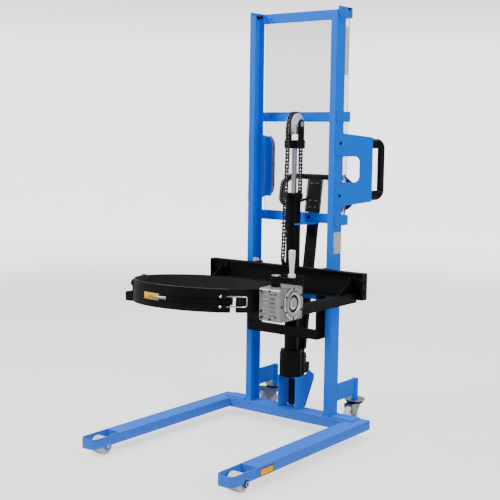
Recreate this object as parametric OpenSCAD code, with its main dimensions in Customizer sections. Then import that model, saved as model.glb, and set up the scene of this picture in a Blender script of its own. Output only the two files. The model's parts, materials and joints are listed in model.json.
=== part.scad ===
// Hand-hydraulic drum lifter and tipper: a wheeled mast with a tilting clamp ring.
// Millimetres. +Z up, X across the masts, the legs and the ring point to -Y.
// The origin is on the floor, in the middle of the whole footprint.

/* [Overall] */
// Height of the top strap above the floor
overall_h = 1960; // [1850:5:2050]
// Clearance between parts that move past each other
gap = 0.3; // [0.2:0.1:0.8]
// Radial clearance of a pin running in its bore
fit = 0.05; // [0.02:0.01:0.1]

/* [Base] */
// Width between the two legs
leg_gap = 662; // [640:2:700]
// Width of a leg tube
leg_w = 87; // [80:1:96]
// Height of the leg tubes and of the cross tube
tube_h = 43; // [38:1:50]
// Wall of the leg tubes and of the cross tube
tube_wall = 5; // [3:0.5:7]
// Height of the tubes above the floor
ground_gap = 40; // [36:1:48]
// Reach of the legs ahead of the masts
leg_reach = 787; // [760:1:900]
// Reach of the legs behind the front of the masts
leg_back = 80; // [76:1:92]
// Overhang of the cross tube ahead of the masts
cross_front = 15; // [8:1:30]
// Thickness of the weld pads beside the masts
pad_t = 6; // [4:1:10]
// Length of a weld pad
pad_len = 122; // [100:1:126]

/* [Front rollers] */
// Diameter of a front roller
roller_d = 75; // [70:1:80]
// Width of a front roller
roller_w = 62; // [50:1:64]
// Diameter of the roller axles
roller_axle_d = 16; // [12:1:20]
// Reach of a roller fork ahead of its leg
fork_reach = 163; // [150:1:190]
// Distance of the roller axle ahead of its leg
axle_reach = 72; // [60:1:90]
// Thickness of the fork band
fork_wall = 6; // [4:0.5:8]
// Outer corner radius of the fork band
fork_corner = 34; // [20:1:40]
// Radius of the lobe round the axle
lobe_r = 17; // [14:1:22]

/* [Masts] */
// Width over the two masts
mast_over = 486; // [470:2:500]
// Width of a mast flange
mast_flange = 31; // [29:1:33]
// Depth of a mast channel
mast_depth = 74; // [70:1:78]
// Wall of a mast channel
mast_wall = 5; // [4:0.5:6]
// Height of a strap
strap_h = 46; // [36:1:60]
// Thickness of a strap
strap_t = 6; // [4:0.5:8]
// Rear face of the straps behind the front of the masts
strap_reach = 120; // [110:1:130]
// Start of the strap sides behind the front of the masts
strap_front = 8; // [4:1:20]
// Rise of the top strap over the masts
strap_rise = 18; // [0:1:30]
// Top of the middle strap
mid_strap_z = 1494; // [1440:1:1540]
// Top of the lower strap
low_strap_z = 1020; // [990:1:1050]
// Top of the strap behind the carriage
rear_strap_z = 653; // [560:1:760]
// Corner radius of the strap sides
strap_corner = 14; // [4:1:20]

/* [Safety screen] */
// Width of the screen
screen_w = 468; // [400:2:480]
// Thickness of the screen
screen_t = 3; // [2:0.5:5]
// Drop of the top edge of the screen below the top strap
screen_drop = 10; // [4:1:20]
// Overlap of the screen on the lower strap
screen_lap = 22; // [14:1:34]
// Distance of the screen screws from the side edges of the screen
screw_inset = 34; // [14:1:60]

/* [Push handles] */
// Top of the upper tab
tab_top_z = 1399; // [1360:1:1420]
// Foot of the lower tab
tab_foot_z = 1059; // [1056:1:1100]
// Height of a tab
tab_h = 102; // [80:1:110]
// Thickness of the handle brackets
bracket_t = 5; // [3:0.5:7]
// Length of the splayed plate
splay_len = 172; // [140:1:180]
// Splay of the plate from straight back
splay_angle = 21.3; // [10:0.1:30]
// Depth of the cut-out
cut_depth = 99; // [70:1:120]
// Width of the rear flange
flange_w = 35; // [34:1:45]
// Height of the grip
grip_h = 288; // [220:1:292]
// Diameter of the grip bar
grip_d = 30; // [24:1:32]
// Projection of the grip behind its flange
grip_reach = 78; // [55:1:80]

/* [Casters] */
// Distance of the caster stems from the middle
caster_x = 237; // [226:1:240]
// Distance of the caster stems behind the front of the masts
caster_y = 240; // [210:1:240]
// Diameter of a stem tube
stem_tube_d = 31; // [28:1:36]
// Diameter of a caster stem
stem_d = 16; // [12:1:20]
// Foot of the stem tube above the floor
stem_foot_z = 126; // [124:1:134]
// Height of the stem tube
stem_tube_h = 98; // [70:1:110]
// Height of the arm plate
caster_arm_h = 80; // [60:1:90]
// Thickness of the arm plate
caster_arm_t = 10; // [6:1:14]
// Diameter of a caster wheel
caster_d = 100; // [92:1:102]
// Width of a caster wheel
caster_w = 32; // [24:1:38]
// Offset of the wheel from the stem
caster_trail = 35; // [28:1:42]
// Diameter of the swivel plate
swivel_d = 99; // [84:1:106]
// Direction of the left caster, from straight ahead
left_caster_turn = 45; // [0:1:60]

/* [Pump] */
// Half width of the pump bracket
pump_half_w = 52; // [48:1:60]
// Height of the pump bracket
pump_stand_h = 157; // [130:1:165]
// Wall of the pump bracket
pump_wall = 5; // [3:0.5:8]
// Diameter of the pump body
pump_d = 104; // [96:1:104]
// Height of the pump body
pump_h = 126; // [110:1:135]
// Diameter of the lift barrel
barrel_d = 67; // [60:1:72]
// Top of the lift barrel
barrel_top_z = 1115; // [1100:1:1119]
// Distance of the cylinder axis behind the front of the masts
barrel_y = 36; // [34:1:40]
// Diameter of the lift rod
rod_d = 25; // [20:1:30]
// Wall of the lift barrel
barrel_wall = 5.5; // [4:0.5:8]

/* [Lift chain] */
// Pitch of the chain
chain_pitch = 15.875; // [15.875:0.005:15.9]
// Number of links over the pulley
wrap_links = 10; // [10:1:10]
// Number of links from the pulley to the carriage
front_links = 40; // [40:1:40]
// Number of links from the pulley to the barrel
rear_links = 20; // [20:1:20]
// Height of the pulley axle
pulley_z = 1437; // [1430:1:1445]
// Distance of the chain lug ahead of the front of the masts
lug_y = 46; // [40:1:50]
// Height of a link plate
link_h = 14; // [12:0.5:15]
// Thickness of a link plate
link_t = 1.8; // [1.5:0.1:2.2]

/* [Carriage] */
// Reach of the carriage beam beyond an arm
beam_reach = 30; // [24:1:36]
// Top of the carriage beam
beam_top_z = 778; // [770:1:784]
// Height of the carriage beam
beam_h = 120; // [110:1:130]
// Depth of the carriage beam
beam_d = 38; // [34:1:44]
// Gap between the beam and the masts
beam_gap = 9; // [6:1:12]
// Wall of the carriage beam
beam_wall = 5; // [4:0.5:7]
// Distance over the two cheeks
cheek_over = 400; // [390:2:408]
// Thickness of a cheek
cheek_t = 10; // [8:1:14]
// Foot of the carriage frame
cheek_foot_z = 450; // [430:1:470]
// Top of the cheeks
cheek_top_z = 778; // [774:1:786]
// Height of the lower bar
bar_h = 43; // [36:1:50]
// Diameter of a carriage roller
carriage_roller_d = 62; // [56:0.5:62]
// Width of a carriage roller
carriage_roller_w = 22; // [18:1:22]
// Height of the upper roller axles
upper_axle_z = 760; // [752:1:762]
// Height of the lower roller axles
lower_axle_z = 482; // [475:1:500]

/* [Arms] */
// Distance of the middle of an arm from the near side of the gearbox
arm_inset = 46; // [42:1:48]
// Width and height of an arm tube
arm_w = 40; // [36:1:44]
// Underside of the arms
arm_z = 647; // [645:1:652]
// Reach of the left arm ahead of the masts
left_arm_reach = 676; // [660:1:700]
// Wall of an arm tube
arm_wall = 4; // [3:0.5:6]

/* [Gearbox] */
// Gap between the ring and the gearbox
ring_gap = 25; // [23:1:27]
// Width of the gearbox
gear_w = 100; // [96:1:104]
// Length of the gearbox
gear_len = 157; // [150:1:160]
// Height of the gearbox
gear_h = 133; // [128:1:140]
// Distance between the worm and the wheel axis
gear_centres = 63; // [63:0.5:64]
// Number of teeth on the worm wheel
gear_teeth = 40; // [36:1:44]
// Diameter of the cover flange
cover_d = 134; // [120:1:134]
// Radius of the crank
crank_r = 62; // [54:1:63]
// Length of the crank grip
crank_grip_h = 109; // [100:1:120]

/* [Clamp ring] */
// Distance of the tilting axis ahead of the masts
ring_y = 594; // [590:1:598]
// Height of the tilting axis
ring_z = 715; // [712:1:718]
// Outer diameter of the ring
ring_d = 630; // [616:1:632]
// Height of the ring
ring_h = 94; // [84:1:104]
// Thickness of the ring band
band_t = 6; // [5:0.5:8]
// Thickness of the rubber lining
lining_t = 8; // [5:0.5:12]
// Rest tilt of the ring, front edge up
ring_tilt = 3.9; // [0:0.1:6]
// Diameter of the tilting shaft
shaft_d = 25; // [20:1:30]
// Width of the gap that the latch closes
latch_gap = 27; // [20:1:32]

/* [Tiller] */
// Distance of the tiller pivot behind the front of the masts
tiller_y = 110; // [108:1:114]
// Height of the tiller pivot
tiller_z = 330; // [322:1:338]
// Lean of the tiller
tiller_lean = 8.3; // [7.5:0.1:12]
// Width of the tiller column
column_w = 55; // [45:1:60]
// Depth of the tiller column
column_d = 20; // [16:1:24]
// Half width of the tiller loop
loop_half_w = 200; // [170:1:210]
// Diameter of the loop tube
loop_d = 27; // [22:1:30]

/* [Small parts] */
// Thickness of a bolt head
head_h = 5; // [4:0.5:6]
// Diameter of a bolt head
head_d = 13; // [11:1:14]
// Diameter of a bolt shank
shank_d = 8; // [5:1:9]
// Diameter of the latch rods
latch_rod_d = 6; // [5:0.5:8]
// Diameter of the hinge pin of the ring
hinge_pin_d = 12; // [10:1:14]
// Thickness of a handle tab's bolt pattern inset
tab_inset = 49; // [40:1:56]

/* [Hidden] */
$fn = 48;
frame_blue = "dodgerblue";
plant_black = "#202022";
zinc = "silver";
cast_grey = "darkgray";
over = 1;

// Derived places, with Y measured from the front face of the masts
base_top = ground_gap + tube_h;
mast_top = overall_h - strap_rise;
mast_side = mast_over / 2;
leg_x = (leg_gap + leg_w) / 2;
leg_side = leg_gap / 2 + leg_w;
front_axle_y = -leg_reach - axle_reach;
front_axle_z = roller_d / 2;
strap_tops = [overall_h, mid_strap_z, low_strap_z, rear_strap_z];
bend_y = mast_depth - 5;
tab_front = 5;
tab_corner = 9;
stop_d = 18;
stop_y = 52;
tab_bolt_y = mast_depth / 2 + 4;
tab_bolt_heights = [tab_top_z - tab_inset, tab_foot_z + tab_h - tab_inset];
screw_x = screen_w / 2 - screw_inset;
screw_heights = [overall_h - strap_h / 2, mid_strap_z - strap_h / 2, low_strap_z - screen_lap / 2];
saddle_tip = 12;
saddle_root = 46;
saddle_land = 20;
saddle_bolt_x = barrel_d / 2 + 1;
saddle_bolt_z = low_strap_z - strap_h / 2 + 1;
splay_top_z = tab_top_z - 3;
splay_foot_z = tab_foot_z + 4;
splay_taper = 17;
cut_top_z = tab_top_z - tab_h - 7;
cut_foot_z = tab_foot_z + tab_h + 11;
cut_corner = 28;
handle_mid_z = (splay_top_z + splay_foot_z) / 2;
grip_y = splay_len + grip_reach - grip_d / 2;
grip_foot_h = 50;
grip_x = bracket_t - flange_w / 2;
rear_reach = bend_y + (grip_y + grip_d / 2) * cos(splay_angle)
    + (grip_d / 2 - grip_x) * sin(splay_angle);
datum_y = (leg_reach + fork_reach - rear_reach) / 2;

swivel_top_z = stem_foot_z - gap;
swivel_t = 6;
crown_t = 4;
crown_z = caster_d + 4;
bowl_d = 80;
caster_leg_gap = caster_w / 2 + 3;
caster_leg_t = 4;
caster_axle_d = 12;
pedal_pin_y = -caster_trail - 56;
pedal_pin_z = crown_z - 6;
pedal_pin_d = 8;
pedal_len = 46;
pedal_half_w = caster_w / 2;

pump_front = 5;
crown_len = 87;
foot_len = 86;
wing_reach = 157;
wing_len = 111;
wing_foot = 31;
wing_tip = 10;
wing_rise = 20;
sump_d = 45;
sump_y = barrel_y + 24;
pump_stand_z = base_top + pump_stand_h;
pump_top_z = pump_stand_z + pump_h;
flute_count = 14;
flute_r = 7;
block_top_z = tiller_z - 10;
plunger_y = tiller_y + 22;
plunger_d = 14;
ear_t = 9;
ear_x = 20;
tiller_pin_d = 12;

pulley_r = chain_pitch / 2 / sin(90 / wrap_links);
chain_front_y = barrel_y - pulley_r;
chain_rear_y = barrel_y + pulley_r;
front_run = front_links * chain_pitch;
rear_run = rear_links * chain_pitch;
anchor_z = pulley_z - rear_run;
lug_z = pulley_z - sqrt(pow(front_run, 2) - pow(chain_front_y + lug_y, 2));
run_lean = asin((chain_front_y + lug_y) / front_run);
inner_plate_x = 5;
roller_seat = 0.1;
chain_play = roller_seat + fit;
outer_plate_x = inner_plate_x + link_t + 0.2;
pin_half = outer_plate_x + link_t + 2;
chain_roller_d = 10;
chain_pin_d = 5;
clevis_gap = 32;
clevis_t = 6;
clevis_foot_z = pulley_z - 114;
clevis_block_h = 39;
pulley_axle_d = 20;
gland_h = 40;
barrel_bore = barrel_d - 2 * barrel_wall;
collar_d = barrel_d + 19;
collar_h = 26;
anchor_t = 9;
anchor_eye_r = 8;
rod_foot_z = 560;
piston_h = 40;

gear_x = ring_d / 2 + ring_gap;
arm_x = gear_x + arm_inset;
beam_w = 2 * (arm_x + arm_w / 2 + beam_reach);
beam_back = -beam_gap;
beam_front = -beam_gap - beam_d;
beam_z = beam_top_z - beam_h;
arm_plate_t = 8;
plate_front = beam_back - beam_wall - arm_plate_t;
arm_bolt_x = 30;
arm_bolt_low = 25;
arm_bolt_high = 31;
arm_bolt_heights = [beam_z + arm_bolt_low, beam_top_z - arm_bolt_high];
end_bolt_low = 32;
end_bolt_high = 43;
end_bolt_heights = [beam_z + end_bolt_low, beam_top_z - end_bolt_high];
gusset_len = 128;
gusset_rise = 60;
cheek_x = cheek_over / 2;
cheek_back = 57;
carriage_axle_d = 16;
carriage_axle_y = mast_depth / 2;
roller_x = mast_side - mast_wall - 2 - carriage_roller_w;
lower_bar_d = 25;

arm_plate_w = 80;
mount_t = 10;
worm_x = gear_x + 60;
worm_y = -ring_y - gear_centres;
gear_front = -ring_y - gear_centres - 28;
gear_back = gear_front + gear_len;
gear_z = ring_z - 68;
gear_top = gear_z + gear_h;
gear_wall = 9;
gear_cover_t = 8;
right_reach = gear_x + gear_w + gear_cover_t;
left_reach = right_reach - 12;
adaptor_t = 12;
collar_x = left_reach - 11.7;
worm_d = 33;
worm_shaft_d = 20;
worm_wheel_w = 24;
hub_z = gear_top + 7;
hub_h = 45;
hub_d = 38;
crank_turn = 37;
crank_z = gear_top + 31;
crank_t = 12;
crank_bar_w = 28;
spindle_d = 10;
grip_base_z = crank_z + crank_t + gap;
grip_collar_r = 17;
crank_reach = worm_x + crank_r * cos(crank_turn) + grip_collar_r;
datum_x = (left_reach - max(right_reach, crank_reach)) / 2;

ring_r = ring_d / 2;
latch_angle = -31.5;
latch_half = latch_gap / ring_d * 180 / PI;
hinge_angle = -170;
hinge_half = 0.25;
door_end = latch_angle - latch_half;
frame_end = latch_angle + latch_half;
hinge_r = ring_r + hinge_pin_d;
knuckle_r = hinge_pin_d / 2 + 5;
knuckle_h = ring_h / 3;
boss_reach = 10;
bearing_h = 50;
lever_pin_angle = latch_angle - 3;
lever_pin_r = ring_r + 12;
bolt_pin_angle = latch_angle - 8.5;
bolt_pin_r = ring_r + 18;
lever_tip_angle = -97;
lever_h = 12;
hub_half_h = 9;
catch_half_h = 14;
latch_pin_d = 8;
bolt_half_h = 20;
bolt_end_angle = -24;
bolt_r = ring_r + 29;

panel_foot = 690;
panel_h = 168;
panel_w = 85;
panel_t = 8;
column_top = panel_foot + panel_h;
column_wall = 3;
nose_y = plunger_y - tiller_y;
nose_drop = 11;
loop_top = 864;
loop_shoulder = 829;
loop_waist = 738;
loop_foot = 652;
loop_top_x = 150;
lever_pivot = [-panel_w / 2 + 14, -column_d / 2 - panel_t, panel_foot + 66];

// Moves children from the mast datum to the origin of the model
module on_mast() {
    translate([datum_x, datum_y, 0]) children();
}

// Children on the right, given in the model's frame, moved to the left
module other_side() {
    translate([2 * datum_x, 0, 0]) mirror([1, 0, 0]) children();
}

// Children on the right and mirrored on the left
module both() {
    children();
    mirror([1, 0, 0]) children();
}

// Flat outline in Y and Z, thickened along +X
module extrude_x(t) {
    rotate([90, 0, 90]) linear_extrude(t) children();
}

module rod_x(x, d, len) {
    translate([x, 0, 0]) rotate([0, 90, 0]) cylinder(d = d, h = len);
}

// Round rod from one point to another
module rod(p, q, d) {
    v = q - p;
    len = norm(v);
    translate(p) rotate([0, acos(v[2] / len), atan2(v[1], v[0])]) cylinder(d = d, h = len);
}

// Rectangle with round corners
module round_rect(size, r) {
    translate([r, 0]) square([size[0] - 2 * r, size[1]]);
    translate([0, r]) square([size[0], size[1] - 2 * r]);
    for (x = [r, size[0] - r], y = [r, size[1] - r]) translate([x, y]) circle(r);
}

// Box with two of its four walls open
module hollow_box(size, wall, ends) {
    inner_x = ends == "x" ? size[0] + 2 * over : size[0] - 2 * wall;
    inner_y = ends == "y" ? size[1] + 2 * over : size[1] - 2 * wall;
    difference() {
        cube(size);
        translate([(size[0] - inner_x) / 2, (size[1] - inner_y) / 2, wall])
            cube([inner_x, inner_y, size[2] - 2 * wall]);
    }
}

// Bolt along +X with its head at the far end
module bolt_x(len, d = shank_d) {
    rod_x(0, d, len);
    rod_x(len, head_d, head_h);
}

module base_crossbeam() {
    color(frame_blue) on_mast() {
        translate([-leg_gap / 2, -cross_front, ground_gap])
            hollow_box([leg_gap, cross_front + leg_back, tube_h], tube_wall, "x");
        both() translate([mast_side + 6, 0, base_top]) cube([pad_len, mast_depth, pad_t]);
    }
}

module leg() {
    color(frame_blue) on_mast() translate([leg_gap / 2, -leg_reach, ground_gap])
        hollow_box([leg_w, leg_reach + leg_back, tube_h], tube_wall, "none");
}

module right_leg() {
    leg();
}

module left_leg() {
    other_side() leg();
}

// Outline of the band seen from above, grown inwards by the wall
module fork_outline(inset) {
    r = fork_corner - inset;
    w = leg_w - 2 * inset;
    len = fork_reach - inset + over * sign(inset);
    translate([leg_gap / 2 + inset, -leg_reach - fork_reach + inset]) {
        translate([0, r]) square([w, len - r]);
        translate([r, 0]) square([w - 2 * r, r + over]);
        for (x = [r, w - r]) translate([x, r]) circle(r);
    }
}

module roller_forks() {
    color(frame_blue) on_mast() both() difference() {
        union() {
            translate([0, 0, ground_gap]) linear_extrude(tube_h) difference() {
                fork_outline(0);
                fork_outline(fork_wall);
            }
            for (x = [leg_gap / 2, leg_side - fork_wall])
                translate([0, front_axle_y, front_axle_z]) rod_x(x, 2 * lobe_r, fork_wall);
        }
        translate([0, front_axle_y, front_axle_z])
            rod_x(leg_gap / 2 - over, roller_axle_d, leg_w + 2 * over);
    }
}

module front_axles() {
    color(zinc) on_mast() both() translate([0, front_axle_y, front_axle_z]) {
        rod_x(leg_gap / 2, roller_axle_d, leg_w);
        rod_x(leg_side, roller_axle_d + 6, head_h);
    }
}

// Wheel with bevelled shoulders, turning about X
module wheel(d, w, bore, bevel) {
    rotate([0, 90, 0]) rotate_extrude($fn = 96) polygon([
        [bore / 2, -w / 2], [d / 2 - bevel, -w / 2], [d / 2, -w / 2 + bevel],
        [d / 2, w / 2 - bevel], [d / 2 - bevel, w / 2], [bore / 2, w / 2]
    ]);
}

module front_roller() {
    color("ivory") on_mast() translate([leg_x, front_axle_y, front_axle_z])
        wheel(roller_d, roller_w, roller_axle_d + 2 * fit, 3);
}

module right_front_roller() {
    front_roller();
}

module left_front_roller() {
    other_side() front_roller();
}

// Holes for the bolts of the handle tabs, through mast and tab
module tab_bolt_holes() {
    for (z = tab_bolt_heights) translate([mast_side - mast_wall - over, tab_bolt_y, z])
        rod_x(0, shank_d, mast_wall + bracket_t + 2 * over);
}

module mast() {
    color(frame_blue) on_mast() difference() {
        translate([mast_side - mast_flange, 0, base_top]) linear_extrude(mast_top - base_top)
            difference() {
                square([mast_flange, mast_depth]);
                translate([-over, mast_wall])
                    square([mast_flange - mast_wall + over, mast_depth - 2 * mast_wall]);
            }
        tab_bolt_holes();
    }
}

module right_mast() {
    mast();
}

module left_mast() {
    other_side() mast();
}

// One strap: a bar behind both masts with a side plate on each
module strap(top_z) {
    translate([-mast_side, strap_reach - strap_t, top_z - strap_h])
        cube([mast_over, strap_t, strap_h]);
    both() translate([mast_side, 0, top_z - strap_h]) extrude_x(strap_t) {
        translate([strap_front + strap_corner, 0])
            square([strap_reach - strap_front - strap_corner, strap_h]);
        translate([strap_front, strap_corner]) square([strap_corner, strap_h - strap_corner]);
        translate([strap_front + strap_corner, strap_corner]) circle(strap_corner);
    }
}

module cross_straps() {
    color(frame_blue) on_mast() difference() {
        for (z = strap_tops) strap(z);
        for (z = screw_heights, x = [-1, 1] * screw_x)
            translate([x, strap_reach + over, z])
                rotate([90, 0, 0]) cylinder(d = shank_d, h = strap_t + 2 * over);
        for (x = [-1, 1] * saddle_bolt_x) translate([x, strap_reach + over, saddle_bolt_z])
            rotate([90, 0, 0]) cylinder(d = shank_d, h = strap_t + 2 * over);
    }
}

// Fork plate under the lower strap that steadies the barrel
module cylinder_saddle() {
    front = -beam_gap / 2;
    back = strap_reach - strap_t;
    tip_w = barrel_d / 2 + saddle_tip;
    root_w = barrel_d / 2 + saddle_root;
    slot_r = barrel_d / 2 + gap;
    color(frame_blue) on_mast() translate([0, 0, low_strap_z - strap_h - strap_t]) difference() {
        linear_extrude(strap_t) polygon([
            [-tip_w, front], [tip_w, front], [root_w, back - saddle_land], [root_w, back + strap_t],
            [-root_w, back + strap_t], [-root_w, back - saddle_land]
        ]);
        translate([0, barrel_y, -over]) cylinder(r = slot_r, h = strap_t + 2 * over);
        translate([-slot_r, front - over, -over])
            cube([2 * slot_r, barrel_y - front + over, strap_t + 2 * over]);
    }
}

module safety_screen() {
    foot = low_strap_z - screen_lap;
    difference() {
        color("lightcyan", 0.3) on_mast() translate([-screen_w / 2, strap_reach, foot])
            cube([screen_w, screen_t, overall_h - screen_drop - foot]);
        on_mast() for (z = screw_heights, x = [-1, 1] * screw_x)
            translate([x, strap_reach - over, z])
                rotate([-90, 0, 0]) cylinder(d = shank_d, h = screen_t + 2 * over);
    }
}

// Screws of the screen, the saddle, the handle tabs and the top strap, and the stops in the masts
module frame_bolts() {
    shank_end = strap_reach - strap_t;
    color("dimgray") on_mast() {
        for (z = screw_heights, x = [-1, 1] * screw_x) translate([x, shank_end, z])
            rotate([0, 0, 90]) bolt_x(strap_t + screen_t);
        for (x = [-1, 1] * saddle_bolt_x) translate([x, shank_end, saddle_bolt_z])
            rotate([-90, 0, 0]) {
                cylinder(d = shank_d, h = strap_t);
                translate([0, 0, -3]) cylinder(d = head_d + 5, h = 3);
                translate([0, 0, -3 - head_h]) cylinder(d = head_d, h = head_h);
            }
        both() for (z = tab_bolt_heights) translate([mast_side - mast_wall, tab_bolt_y, z])
            bolt_x(mast_wall + bracket_t);
        both() translate([mast_side + strap_t, mast_depth + 16, mast_top + 11])
            rod_x(0, head_d, head_h);
        both() translate([mast_side - mast_flange, stop_y, mast_top - 2])
            rod_x(0, stop_d, mast_flange - mast_wall);
    }
}

// Places children in the frame of the splayed plate, its root at the bend
module on_splay() {
    on_mast() translate([mast_side, bend_y, 0]) rotate([0, 0, -splay_angle]) children();
}

module handle_bracket() {
    for (z = [tab_top_z - tab_h, tab_foot_z]) {
        on_mast() difference() {
            translate([mast_side, 0, z]) extrude_x(bracket_t) {
                translate([tab_front + tab_corner, 0]) square([bend_y - tab_front - tab_corner, tab_h]);
                translate([tab_front, tab_corner]) square([tab_corner, tab_h - 2 * tab_corner]);
                for (h = [tab_corner, tab_h - tab_corner])
                    translate([tab_front + tab_corner, h]) circle(tab_corner);
            }
            tab_bolt_holes();
        }
        on_splay() translate([0, 0, z + 3]) linear_extrude(tab_h - 6) polygon([
            [0, 0], [bracket_t, 0], bracket_t * [cos(splay_angle), sin(splay_angle)]
        ]);
    }
    on_splay() extrude_x(bracket_t) difference() {
        polygon([
            [0, splay_foot_z], [splay_len, splay_foot_z + splay_taper],
            [splay_len, splay_top_z - splay_taper], [0, splay_top_z]
        ]);
        translate([-over, cut_foot_z])
            square([cut_depth - cut_corner + over, cut_top_z - cut_foot_z]);
        translate([0, cut_foot_z + cut_corner])
            square([cut_depth, cut_top_z - cut_foot_z - 2 * cut_corner]);
        for (z = [cut_foot_z + cut_corner, cut_top_z - cut_corner])
            translate([cut_depth - cut_corner, z]) circle(cut_corner);
    }
    on_splay() translate([bracket_t - flange_w, splay_len - bracket_t, splay_foot_z + splay_taper])
        cube([flange_w, bracket_t, splay_top_z - splay_foot_z - 2 * splay_taper]);
}

module handle_brackets() {
    color(frame_blue) {
        handle_bracket();
        other_side() handle_bracket();
    }
}

module grip() {
    half_h = grip_h / 2;
    chamfer = grip_d;
    on_splay() translate([grip_x, 0, handle_mid_z]) {
        translate([0, grip_y, chamfer - half_h]) cylinder(d = grip_d, h = grip_h - 2 * chamfer);
        for (side = [0, 1]) mirror([0, 0, side]) translate([-grip_d / 2, 0, 0]) extrude_x(grip_d)
            polygon([
                [splay_len, half_h], [grip_y + grip_d / 2 - chamfer, half_h],
                [grip_y + grip_d / 2, half_h - chamfer], [grip_y - grip_d / 2, half_h - chamfer],
                [grip_y - grip_d / 2, half_h - grip_foot_h], [splay_len, half_h - grip_foot_h]
            ]);
    }
}

module handle_grips() {
    color(plant_black) {
        grip();
        other_side() grip();
    }
}

module caster_arms() {
    arm_len = caster_y - mast_depth;
    color(frame_blue) on_mast() both() difference() {
        union() {
            translate([caster_x - caster_arm_t / 2, mast_depth, stem_foot_z + 20])
                cube([caster_arm_t, arm_len, caster_arm_h]);
            translate([caster_x, caster_y, stem_foot_z]) cylinder(d = stem_tube_d, h = stem_tube_h);
        }
        translate([caster_x, caster_y, stem_foot_z - over])
            cylinder(d = stem_d + 2 * fit, h = stem_tube_h - 6 + over);
    }
}

// Fork of a caster about its stem, with the wheel trailing towards -Y
module caster_fork() {
    leg_pitch = caster_leg_gap + caster_leg_t / 2;
    translate([0, 0, swivel_top_z - swivel_t]) cylinder(d = swivel_d, h = swivel_t);
    translate([0, 0, swivel_top_z - over]) cylinder(d = stem_d, h = stem_tube_h - 10 + over);
    translate([0, 0, crown_z]) cylinder(d1 = bowl_d - 8, d2 = bowl_d, h = swivel_top_z - swivel_t - crown_z);
    translate([-caster_leg_gap - caster_leg_t, -caster_trail - 26, crown_z])
        cube([2 * (caster_leg_gap + caster_leg_t), caster_trail + 52, crown_t]);
    for (side = [-1, 1]) translate([side * leg_pitch - caster_leg_t / 2, 0, 0]) extrude_x(caster_leg_t) {
        polygon([
            [26, crown_z + crown_t], [-caster_trail - 26, crown_z + crown_t],
            [-caster_trail - 13, caster_d / 2], [-caster_trail + 13, caster_d / 2], [26, crown_z]
        ]);
        translate([-caster_trail, caster_d / 2]) circle(13);
    }
    translate([0, -caster_trail, caster_d / 2])
        rod_x(-caster_leg_gap - caster_leg_t - 5, caster_axle_d, 2 * (caster_leg_gap + caster_leg_t + 5));
}

module on_right_caster() {
    on_mast() translate([caster_x, caster_y, 0]) children();
}

module on_left_caster() {
    on_mast() translate([-caster_x, caster_y, 0]) rotate([0, 0, -left_caster_turn]) children();
}

module right_caster_fork() {
    color(zinc) on_right_caster() caster_fork();
}

// The left fork also has two ears for the brake pedal
module left_caster_fork() {
    color(zinc) on_left_caster() {
        caster_fork();
        for (side = [-1, 1]) translate([side * (pedal_half_w + 2.5) - 2, 0, 0]) extrude_x(4)
            difference() {
                translate([pedal_pin_y - 8, pedal_pin_z - 8])
                    square([-caster_trail - 20 - pedal_pin_y + 8, crown_z + crown_t - pedal_pin_z + 8]);
                translate([pedal_pin_y, pedal_pin_z]) circle(d = pedal_pin_d + 2 * fit);
            }
    }
}

module caster_wheel() {
    translate([0, -caster_trail, caster_d / 2]) wheel(caster_d, caster_w, caster_axle_d + 2 * fit, 4);
}

module right_caster_wheel() {
    color("whitesmoke") on_right_caster() caster_wheel();
}

module left_caster_wheel() {
    color("whitesmoke") on_left_caster() caster_wheel();
}

// Foot pedal with its pin and a pad that presses on the tyre
module brake_pedal() {
    color(zinc) on_left_caster() translate([0, pedal_pin_y, pedal_pin_z]) {
        rod_x(-pedal_half_w - 4.5, pedal_pin_d, 2 * pedal_half_w + 9);
        translate([-pedal_half_w, 0, 0]) extrude_x(2 * pedal_half_w) polygon([
            [5, 6], [-10, 6], [-pedal_len, -8], [-pedal_len, -12], [-10, 0], [-4, -7], [13, -18], [16, -12]
        ]);
    }
}

module pump_bracket() {
    wing_back = pump_front + wing_reach;
    crown_back = pump_front + crown_len;
    color(frame_blue) on_mast() difference() {
        union() {
            both() translate([pump_half_w - pump_wall, 0, 0]) extrude_x(pump_wall) polygon([
                [pump_front, base_top], [pump_front + foot_len, base_top],
                [wing_back, pump_stand_z - wing_foot], [wing_back, pump_stand_z - wing_tip],
                [pump_front + wing_len, pump_stand_z + wing_rise], [crown_back, pump_stand_z],
                [pump_front, pump_stand_z]
            ]);
            translate([-pump_half_w, pump_front, pump_stand_z - pump_wall])
                cube([2 * pump_half_w, crown_back - pump_front, pump_wall]);
        }
        translate([0, sump_y, pump_stand_z - pump_wall - over])
            cylinder(d = sump_d + 2 * gap, h = pump_wall + 2 * over);
    }
}

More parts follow.
